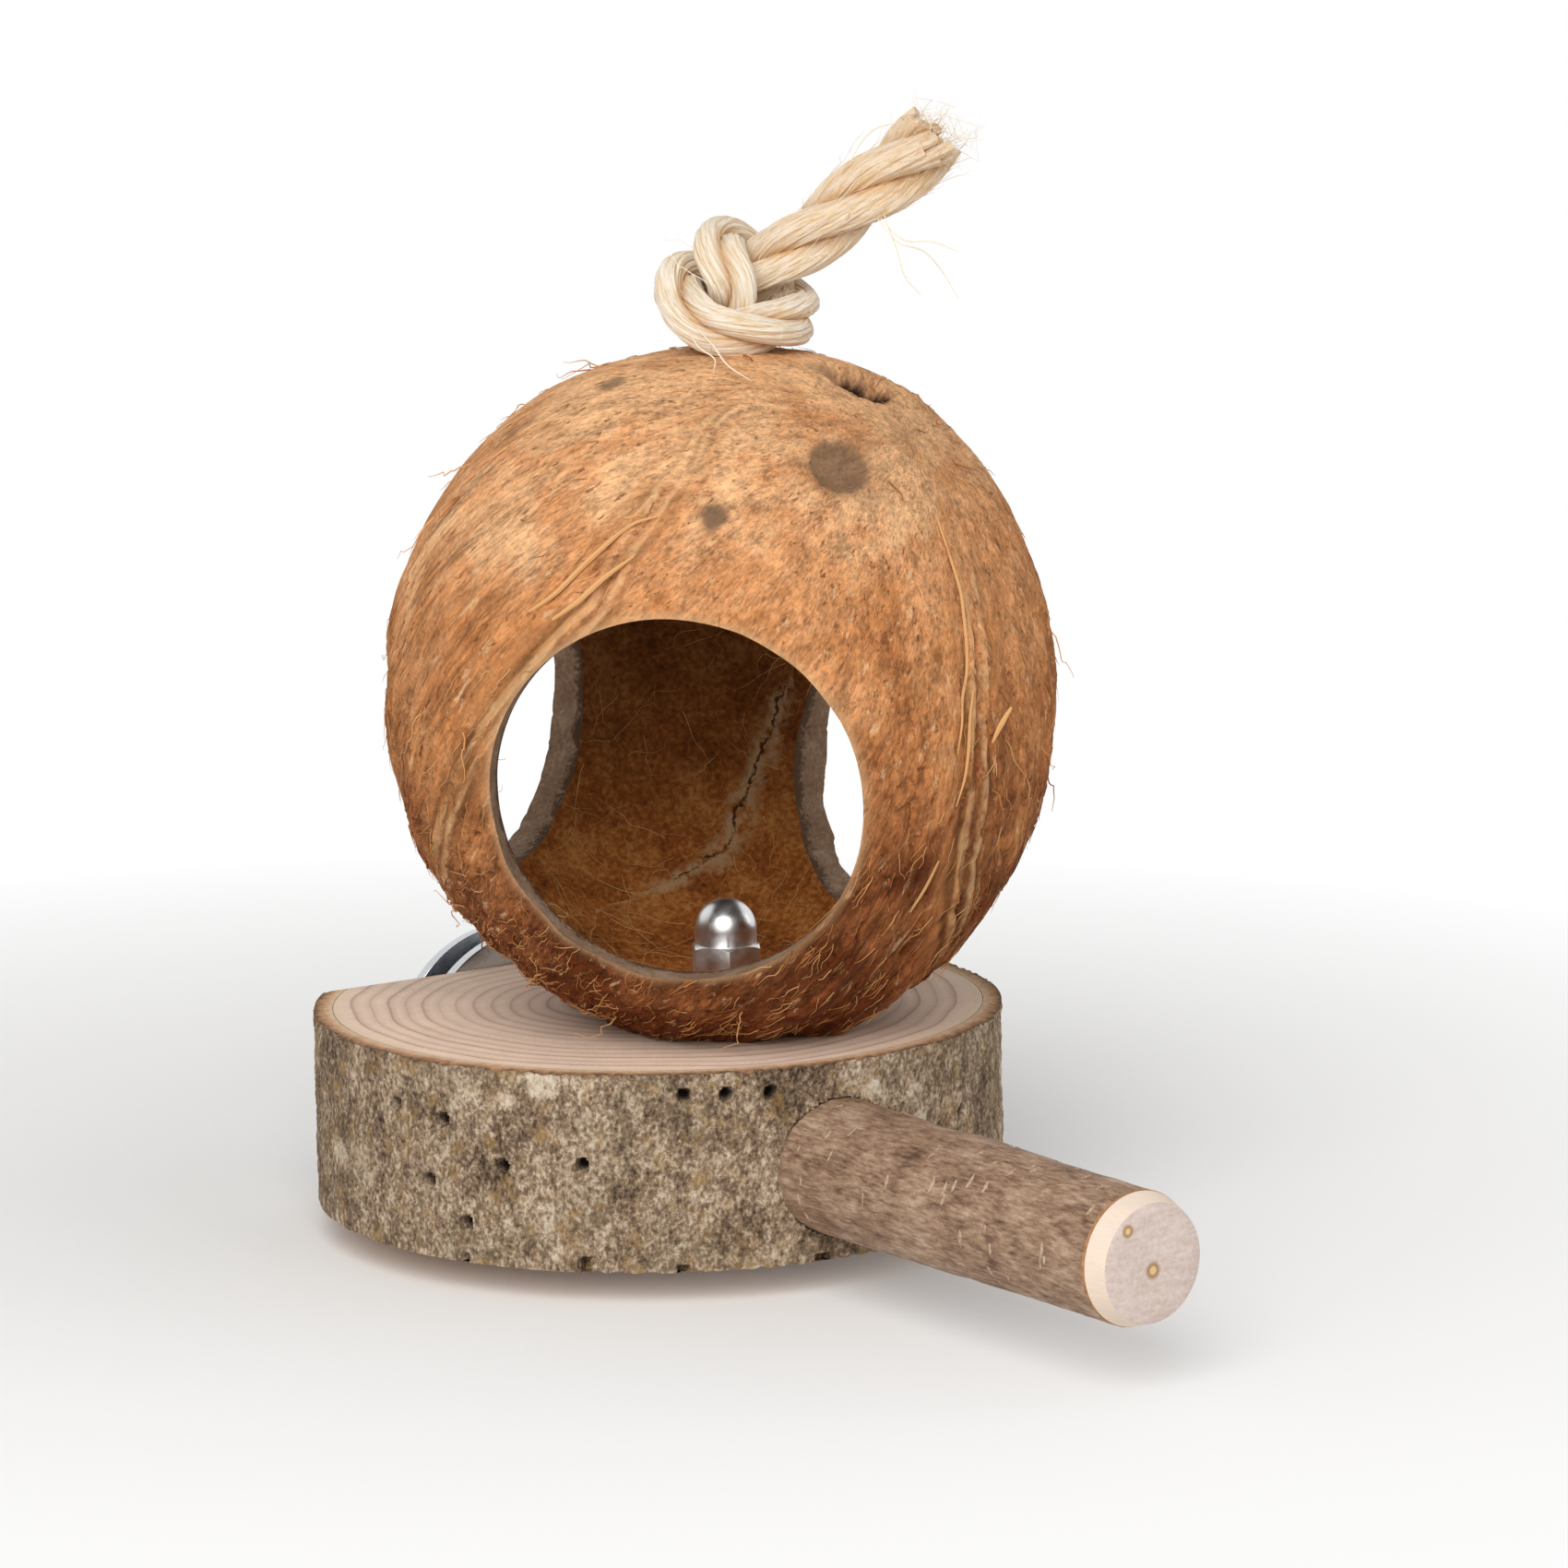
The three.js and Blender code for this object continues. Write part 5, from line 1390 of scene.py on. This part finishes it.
class BIRDHOUSE_OT_slice(bpy.types.Operator):
    """Make the log slice's wood and its band of bark"""

    bl_idname = "bird_house.slice"
    bl_label = "Log slice"

    def execute(self, context):
        scene = context.scene
        settings = scene.bird_house_slice
        core = make_core(settings, scene.bird_house_fixing, scene.bird_house_perch, slice_wood(settings))
        bark = make_bark(settings, slice_bark(settings), sawn_bast(settings))
        hand_in(core, "base", "sawn_wood", "board_core")
        hand_in(bark, "base", "log_bark", "board_bark")
        return {"FINISHED"}


# Perch


def stick_bark(perch):
    """Young smooth bark: satin grey-brown, with darker streaks along the stick and rubbed paler spots."""
    material, tree, shader, place = new_finish("young smooth bark")
    streaks = mottle(
        tree, place, (0.5, 0.4, (1, 0.22, 1)), (1.6, 0.3, (1, 0.3, 1)), (7, 0.3, (1, 0.6, 1)),
    )
    base = add_node(tree, "ShaderNodeValToRGB", {"Fac": streaks}, stops=[
        (0.38, perch.bark_shade), (0.47, perch.bark), (0.54, linear("#A78A72")), (0.65, linear("#C8B099")),
    ])
    set_look(tree, shader, base, (), streaks, 0.3 * MM, 0.6)
    return material


def stick_end(name, tone, shade, marks):
    """Whittled or sawn end of a thin stick: pale wood with fine saw marks, a pith and a small knot."""
    material, tree, shader, place = new_finish(name)
    middle = (PERCH_X, 0, PERCH_Z)
    level = add_node(tree, "ShaderNodeVectorMath", {0: place, 1: middle}, operation="SUBTRACT")
    level = add_node(tree, "ShaderNodeVectorMath", {0: level, 1: (1, 0.05, 1)}, operation="MULTIPLY")
    grain = mottle(tree, level, (0.7, 0.5, (1, 1, 1)), (0.9, 0.5, (0.25, 1, 1)))
    grain = add_node(tree, "ShaderNodeMapRange", {"Value": grain, "From Min": 0.36, "From Max": 0.62})
    base = add_node(tree, "ShaderNodeMix", {
        "Factor_Float": grain, "A_Color": shade, "B_Color": tone,
    }, data_type="RGBA")
    tints = []
    for x, z, size in marks:
        centre = (x * MM, 0, z * MM)
        spot = add_node(tree, "ShaderNodeVectorMath", {0: level, 1: centre}, operation="SUBTRACT")
        spot = add_node(tree, "ShaderNodeVectorMath", {0: spot, 1: (1, 0, 1)}, operation="MULTIPLY")
        spot = add_node(tree, "ShaderNodeVectorMath", {0: spot}, operation="LENGTH", output="Value")
        for reach, code in ((1.0, "#9C7443"), (0.5, "#E2C48F")):
            tint = add_node(tree, "ShaderNodeMapRange", {
                "Value": spot, "From Min": 0.6 * reach * size * MM, "From Max": reach * size * MM,
                "To Min": 0.85, "To Max": 0.0,
            })
            tints.append((tint, linear(code)))
    set_look(tree, shader, base, tints, grain, 0.05 * MM, 0.75)
    return material


def lenticel(perch):
    """Lenticels: corky pale pores, powdery and matt."""
    material, tree, shader, place = new_finish("lenticel cork")
    cork = mottle(tree, place, (0.5, 1, (1, 1, 1)))
    base = add_node(tree, "ShaderNodeValToRGB", {"Fac": cork}, stops=[
        (0.35, perch.bark), (0.55, perch.lenticel),
    ])
    set_look(tree, shader, base)
    return material


class BIRDHOUSE_OT_perch(bpy.types.Operator):
    """Make the stick perch with its chamfered end and lenticels"""

    bl_idname = "bird_house.perch"
    bl_label = "Perch"

    def execute(self, context):
        perch = context.scene.bird_house_perch
        fixing = context.scene.bird_house_fixing
        bore = fixing.thread_radius + fixing.bore_gap
        bore_end = PERCH_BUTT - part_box("perch_screw")[0].y + fixing.bore_gap
        reach = PERCH_BUTT - PERCH_TIP
        sides = 132
        butt = [(0, bore_end), (bore, bore_end), (bore, 0), (perch.radius - 0.9 * MM, 0),
                (perch.radius - 0.25 * MM, 0.2 * MM)]
        side = [(perch.radius + (perch.end_radius - perch.radius) * d / reach, d)
                for d in np.linspace(0.7 * MM, reach - perch.chamfer_length, 130)]
        flat = perch.end_radius - perch.chamfer_width
        chamfer = [(perch.end_radius - perch.chamfer_width * s, reach - perch.chamfer_length * (1 - s))
                   for s in (0.03, 0.11, 0.4, 0.7, 0.97)]
        end = [(flat - 0.15 * MM, reach), *[(flat * s, reach) for s in (0.75, 0.5, 0.25, 0)]]
        profile = [*butt, *side, *chamfer, *end]
        start = np.array([PERCH_X, PERCH_BUTT, PERCH_Z])
        points, faces = turned(profile, sides, start, -BACK)
        ring = np.repeat(np.arange(len(profile)), sides)
        first_side, first_chamfer, first_end = np.cumsum([len(butt), len(side), len(chamfer)])
        knobs = 0.3 * smooth_noise(points / (14 * MM)) + 0.06 * smooth_noise(points / (1.4 * MM)) - 0.12
        knobs = np.where((ring >= first_side) & (ring < first_chamfer), knobs * MM, 0)
        spoke = (points - start) * (1 - BACK)
        points = points + spoke / np.maximum(np.linalg.norm(spoke, axis=1), MM)[:, None] * knobs[:, None]
        bands = [first_side - 1, first_chamfer - 1, first_chamfer + 1, first_end - 1]
        finish = np.digitize(faces.min(axis=1) // sides, bands)
        pith_and_knot = [(0, -1, 1.5), (-4.5, 5.2, 1.15)]
        stick = new_piece(
            "perch_stick", points, faces, stick_bark(perch),
            stick_end("whittled sapwood", perch.sapwood, linear("#EBD5BF"), []),
            stick_end("sawn stick end", perch.end_grain, linear("#C4AFA4"), pith_and_knot),
            stick_end("cut bast", linear("#B98A60"), linear("#8E623D"), []),
            finish=np.array([2, 0, 3, 1, 2])[finish],
        )
        pores = grow(
            "perch_lenticels", faces_with(stick, "pores", 0), lenticel_tree(), density=1.9e4,
            axis=(-BACK).tolist(), smallest=(0.35 * MM, 0.2 * MM, 0.05 * MM),
            largest=(1.5 * MM, 0.42 * MM, 0.1 * MM), seed=6, material=lenticel(perch),
        )
        hand_in(stick, "base", "perch_bark", "perch")
        hand_in(pores, "base", "perch_bark")
        return {"FINISHED"}


# Fixings


def steel(name, tone, gloss):
    """Zinc-plated or polished steel: bright, with faint cloudy patches and fine handling marks."""
    material, tree, shader, place = new_finish(name)
    clouds = mottle(tree, place, (4, 1, (1, 1, 1)))
    # Handling marks are far under 0.1 mm wide. They are drawn at 0.35 mm, so that they show.
    marks = mottle(tree, place, (0.35, 1, (1, 1, 1)))
    rough = add_node(tree, "ShaderNodeMapRange", {
        "Value": clouds, "From Min": 0.3, "From Max": 0.7, "To Min": gloss * 0.75, "To Max": gloss * 1.35,
    })
    tint = add_node(tree, "ShaderNodeMapRange", {
        "Value": clouds, "From Min": 0.3, "From Max": 0.7, "To Min": 0.9, "To Max": 1.04,
    })
    base = add_node(tree, "ShaderNodeVectorMath", {0: list(tone)[:3], "Scale": tint}, operation="SCALE")
    set_look(tree, shader, base, (), marks, 0.004 * MM)
    tree.links.new(rough, shader.inputs["Roughness"])
    shader.inputs["Metallic"].default_value = 1.0
    return material


def threaded(start, axis, spans, sides=36):
    """Points and faces of a bolt: spans of (length, radius at its start, radius at its end, thread pitch)."""
    angle = np.linspace(0, 2 * math.pi, sides, endpoint=False)
    profile = [(0 * angle, 0)]
    done = 0
    for span, begin, finish, pitch in spans:
        steps = max(1, math.ceil(span / pitch * 6)) if pitch else 1
        for i in range(steps + 1):
            along = done + span * i / steps
            radius = begin + (finish - begin) * i / steps + 0 * angle
            if pitch:
                wave = np.abs((along / pitch - angle / (2 * math.pi)) % 1 - 0.5) * 2
                radius = radius - np.minimum(0.62 * pitch, 0.35 * radius) * (1 - fade(wave, 0.15, 0.85))
            profile.append((radius, along))
        done += span
    return turned([*profile, (0 * angle, done)], sides, start, axis)


def washer(name, node, axis, hole, edge, material):
    """A flat washer with rounded edges, where its node is."""
    low, high = (np.array(corner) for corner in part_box(node))
    thick = float((high - low) @ axis)
    outer = float(((high - low) * (1 - axis)).max()) / 2
    start = (low + high) / 2 - axis * thick / 2
    quarter = np.linspace(0, math.pi / 2, 5)
    corner = [(outer - edge * (1 - math.cos(a)), edge * (1 - math.sin(a))) for a in quarter]
    rim = [*corner[::-1], *[(r, thick - d) for r, d in corner]]
    inner = hole + edge / 2
    bore = [(inner, thick), (hole, thick - edge / 2), (hole, edge / 2), (inner, 0)]
    points, faces = turned([(inner, 0), *rim, *bore], 120, start, axis)
    return new_piece(name, points, faces, material, crease=50)


class BIRDHOUSE_OT_nest_fixings(bpy.types.Operator):
    """Make the bolt, washer and domed nut that hold the coconut"""

    bl_idname = "bird_house.nest_fixings"
    bl_label = "Nest fixings"

    def execute(self, context):
        fixing = context.scene.bird_house_fixing
        zinc = steel("zinc-plated steel", fixing.zinc, 0.28)
        polished = steel("polished steel", fixing.polish, 0.34)
        ring = washer(
            "nest_plain_washer", "nest_washer", UP, fixing.thread_radius + fixing.bore_gap, fixing.edge, zinc
        )
        hand_in(self.carriage_bolt(fixing, zinc), "base", "zinc_steel", "nest_bolt")
        hand_in(ring, "base", "zinc_steel", "nest_washer")
        hand_in(self.dome_nut(fixing, polished), "base", "polished_steel", "nest_cap_nut")
        return {"FINISHED"}

    def carriage_bolt(self, fixing, material):
        """A domed head, a square neck and a shank with a thread at its end."""
        low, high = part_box("nest_bolt")
        head_radius, head, neck, neck_length = 8 * MM, 3.5 * MM, 3.2 * MM, 4 * MM
        r, tip = fixing.thread_radius, 0.6 * MM
        seat = low.z + head
        quarter = np.linspace(0, math.pi / 2, 14)
        dome = [(head_radius * math.sin(a), head * (1 - math.cos(a))) for a in quarter]
        points, faces = turned([*dome, (0, head)], 72, (NEST_X, NEST_Y, low.z), UP)
        bolt = new_piece("nest_carriage_bolt", points, faces, material, crease=50)
        square = block("neck", (NEST_X - neck, NEST_Y - neck, seat - MM),
                       (NEST_X + neck, NEST_Y + neck, seat + neck_length), material)
        plain = 0.6 * (high.z - seat)
        thread = high.z - seat - plain - tip
        points, faces = threaded((NEST_X, NEST_Y, seat - MM), UP, [
            (plain + MM, r, r, 0), (thread, r, r, fixing.pitch), (tip, 0.8 * r, 0.6 * r, 0),
        ])
        return carve(bolt, [square, new_piece("shank", points, faces, material)], "UNION", crease=50)

    def dome_nut(self, fixing, material):
        """A hexagon with chamfered corners under a dome."""
        low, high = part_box("nest_cap_nut")
        start = np.array([NEST_X, NEST_Y, low.z])
        hexagon, dome, tall, chamfer = 5 * MM, 4.75 * MM, high.z - low.z, 0.7 * MM
        flats = 10 * MM
        corner = flats / math.sqrt(3)
        points, faces = turned([(0, 0), (corner, 0), (corner, hexagon), (0, hexagon)], 6, start, UP)
        nut = new_piece("nest_dome_nut", points, faces, material)
        cone = [(0, 0), (corner - chamfer, 0), (corner, 0.7 * chamfer), (corner, hexagon - 0.7 * chamfer),
                (corner - chamfer, hexagon), (0, hexagon)]
        points, faces = turned(cone, 96, start, UP)
        carve(nut, [new_piece("cone", points, faces, material)], "INTERSECT")
        quarter = np.linspace(0, math.pi / 2, 24)
        arc = [(dome * math.cos(a), tall - dome + dome * math.sin(a)) for a in quarter]
        points, faces = turned([(0, MM), (dome, MM), *arc], 96, start, UP)
        carve(nut, [new_piece("dome", points, faces, material)], "UNION")
        bore = fixing.thread_radius + fixing.bore_gap
        thread_depth = 8 * MM
        carve(nut, [rod("bore", start - UP * MM, UP, thread_depth + MM, bore, 40, material)])
        return bevel(nut, 0.18 * MM, 25, crease=35)


class BIRDHOUSE_OT_clamp(bpy.types.Operator):
    """Make the clamp's hanger bolt, washers and wing nut, and the perch's dowel screw"""

    bl_idname = "bird_house.clamp"
    bl_label = "Clamp and screws"

    def execute(self, context):
        fixing = context.scene.bird_house_fixing
        zinc = steel("zinc-plated clamp steel", fixing.zinc, 0.25)
        r, wood, edge = fixing.thread_radius, fixing.wood_pitch, fixing.edge
        low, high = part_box("hanger_bolt")
        point, plain, tip = 7 * MM, 4 * MM, 0.7 * MM
        in_wood = BOARD_BACK - low.y - (point + plain / 2)
        in_clamp = high.y - BOARD_BACK - (plain / 2 + tip)
        points, faces = threaded((0, low.y, 0), BACK, [
            (point, 0.15 * r, r, wood), (in_wood, r, r, wood), (plain, r, r, 0),
            (in_clamp, r, r, fixing.pitch), (tip, 0.85 * r, 0.6 * r, 0),
        ])
        hanger = new_piece("hanger_bolt_threaded", points, faces, zinc, crease=60)
        low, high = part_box("perch_screw")
        point, in_perch, waist = 6 * MM, 17 * MM, 4 * MM
        in_wood = high.y - low.y - (2 * point + in_perch + waist)
        points, faces = threaded((PERCH_X, low.y, PERCH_Z), BACK, [
            (point, 0.15 * r, r, wood), (in_perch, r, r, wood), (waist, 0.85 * r, 0.85 * r, 0),
            (in_wood, r, r, wood), (point, r, 0.15 * r, wood),
        ])
        screw = new_piece("perch_dowel_screw", points, faces, zinc, crease=60)
        hole = r + fixing.bore_gap
        front = washer("clamp_washer_front_round", "clamp_washer_front", BACK, hole, edge, zinc)
        rear = washer("clamp_washer_rear_round", "clamp_washer_rear", BACK, hole, edge, zinc)
        for piece, body, node in (
            (hanger, "base", "hanger_bolt"), (screw, "base", "perch_screw"),
            (front, "base", "clamp_washer_front"), (rear, "clamp", "clamp_washer_rear"),
            (self.wing_nut(zinc), "wing", "wing_nut"),
        ):
            hand_in(piece, body, "zinc_steel", node)
        return {"FINISHED"}

    def wing_nut(self, material):
        """The wing nut with the soft edges of a casting."""
        work = bmesh.new()
        work.from_mesh(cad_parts["wing_nut"].data)
        bmesh.ops.remove_doubles(work, verts=work.verts, dist=0.01 * MM)
        points = [vertex.co[:] for vertex in work.verts]
        faces = [[vertex.index for vertex in face.verts] for face in work.faces]
        work.free()
        wing = new_piece("wing_nut_cast", points, faces, material)
        skin = wing.modifiers.new("skin", "REMESH")
        skin.mode = "VOXEL"
        skin.voxel_size = 0.28 * MM
        soft = wing.modifiers.new("soft edges", "SMOOTH")
        soft.factor = 0.5
        soft.iterations = 8
        bake(wing, crease=60)
        if not wing.data.materials:
            wing.data.materials.append(material)
        return wing


# Stage


def seen_directly(tree):
    """1 for what the camera sees itself or in metal and glass, and 0 for light on the object."""
    path = tree.nodes.new("ShaderNodeLightPath").outputs
    seen = path["Is Camera Ray"]
    for kind in ("Is Glossy Ray", "Is Transmission Ray"):
        seen = add_node(tree, "ShaderNodeMath", {0: seen, 1: path[kind]}, operation="MAXIMUM")
    return seen


class BIRDHOUSE_OT_stage(bpy.types.Operator):
    """Make the camera, the soft light and the pale floor"""

    bl_idname = "bird_house.stage"
    bl_label = "Stage"

    def execute(self, context):
        stage = context.scene.bird_house_stage
        context.scene.view_settings.view_transform = "Standard"
        self.camera(context.scene, stage)
        self.world(context.scene, stage)
        middle = (cad_low + cad_high) / 2
        self.lamp("key", stage.key, KEY_WIDTH, middle + KEY_PLACE, middle)
        self.lamp("fill", stage.fill, FILL_WIDTH, middle + FILL_PLACE, middle)
        self.floor(stage)
        return {"FINISHED"}

    def camera(self, scene, stage):
        data = bpy.data.cameras.new("camera")
        data.lens = stage.lens
        data.sensor_width = 36
        data.clip_start = 0.05
        camera = bpy.data.objects.new("camera", data)
        back = CAMERA_RIGHT.cross(CAMERA_UP).normalized()
        turn = Matrix((CAMERA_RIGHT, CAMERA_UP, back)).transposed().to_quaternion()
        camera.matrix_world = Matrix.Translation(CAMERA_PLACE) @ turn.to_matrix().to_4x4()
        scene.collection.objects.link(camera)
        scene.camera = camera

    def world(self, scene, stage):
        world = bpy.data.worlds.new("studio")
        world.use_nodes = True
        scene.world = world
        tree = world.node_tree
        tree.nodes.clear()
        strength = add_node(tree, "ShaderNodeMapRange", {
            "Value": seen_directly(tree), "To Min": stage.world, "To Max": 1.0,
        })
        light = add_node(tree, "ShaderNodeBackground", {"Color": (1, 1, 1, 1), "Strength": strength})
        add_node(tree, "ShaderNodeOutputWorld", {"Surface": light})

    def lamp(self, name, power, size, place, target):
        data = bpy.data.lights.new(name, "AREA")
        data.energy = power
        data.shape = "DISK"
        data.size = size
        lamp = bpy.data.objects.new(name, data)
        lamp.location = place
        lamp.rotation_mode = "QUATERNION"
        lamp.rotation_quaternion = (target - place).to_track_quat("-Z", "Y")
        bpy.context.scene.collection.objects.link(lamp)

    def floor(self, stage):
        """A pale matt floor under the object, which turns into the white background further off."""
        material, tree, shader, place = new_finish("studio floor")
        paper = mottle(tree, place, (2, 1, (1, 1, 1)))
        tone = add_node(tree, "ShaderNodeMapRange", {"Value": paper, "To Min": 0.98, "To Max": 1.02})
        base = list(stage.floor)[:3]
        base = add_node(tree, "ShaderNodeVectorMath", {0: base, "Scale": tone}, operation="SCALE")
        set_look(tree, shader, base)
        reach = add_node(tree, "ShaderNodeVectorMath", {0: place}, operation="LENGTH", output="Value")
        shaded, white_from = 0.06, 0.3
        far = add_node(tree, "ShaderNodeMapRange", {
            "Value": reach, "From Min": shaded, "From Max": white_from,
        })
        far = add_node(tree, "ShaderNodeMath", {0: far, 1: seen_directly(tree)}, operation="MULTIPLY")
        white = add_node(tree, "ShaderNodeEmission", {"Color": (1, 1, 1, 1), "Strength": 1.0})
        mixed = add_node(tree, "ShaderNodeMixShader", {0: far, 1: shader.outputs[0], 2: white})
        tree.links.new(mixed, tree.nodes["Material Output"].inputs["Surface"])
        rings = [(0.05 * 1.35 ** i, 0) for i in range(16)]
        floor_gap = 0.2 * MM
        points, faces = turned([(0, 0), *rings], 64, (0, NEST_Y, cad_low.z - floor_gap), UP)
        new_piece("floor", points, faces[:, ::-1], material)


class BIRDHOUSE_PT_panel(bpy.types.Panel):
    """Buttons that build the bird house"""

    bl_idname = "BIRDHOUSE_PT_panel"
    bl_label = "Bird House"
    bl_space_type = "VIEW_3D"
    bl_region_type = "UI"
    bl_category = "Bird House"

    def draw(self, context):
        for operator in OPERATORS:
            self.layout.operator(operator.bl_idname)
        for name in SETTINGS:
            box = self.layout.box()
            group = getattr(context.scene, name)
            for key in group.bl_rna.properties.keys():
                if key not in ("rna_type", "name"):
                    box.prop(group, key)


SETTINGS = {
    "bird_house_coconut": CoconutSettings,
    "bird_house_rope": RopeSettings,
    "bird_house_slice": SliceSettings,
    "bird_house_perch": PerchSettings,
    "bird_house_fixing": FixingSettings,
    "bird_house_stage": StageSettings,
}
OPERATORS = (
    BIRDHOUSE_OT_stage,
    BIRDHOUSE_OT_rope,
    BIRDHOUSE_OT_coconut,
    BIRDHOUSE_OT_slice,
    BIRDHOUSE_OT_perch,
    BIRDHOUSE_OT_nest_fixings,
    BIRDHOUSE_OT_clamp,
)


def register():
    for group in (*SETTINGS.values(), *OPERATORS, BIRDHOUSE_PT_panel):
        bpy.utils.register_class(group)
    for name, group in SETTINGS.items():
        setattr(bpy.types.Scene, name, PointerProperty(type=group))


def unregister():
    for name in SETTINGS:
        delattr(bpy.types.Scene, name)
    for group in (BIRDHOUSE_PT_panel, *OPERATORS[::-1], *list(SETTINGS.values())[::-1]):
        bpy.utils.unregister_class(group)


def main():
    register()
    bpy.ops.bird_house.stage()
    bpy.ops.bird_house.rope()
    bpy.ops.bird_house.coconut()
    bpy.ops.bird_house.slice()
    bpy.ops.bird_house.perch()
    bpy.ops.bird_house.nest_fixings()
    bpy.ops.bird_house.clamp()


if __name__ == "__main__":
    main()
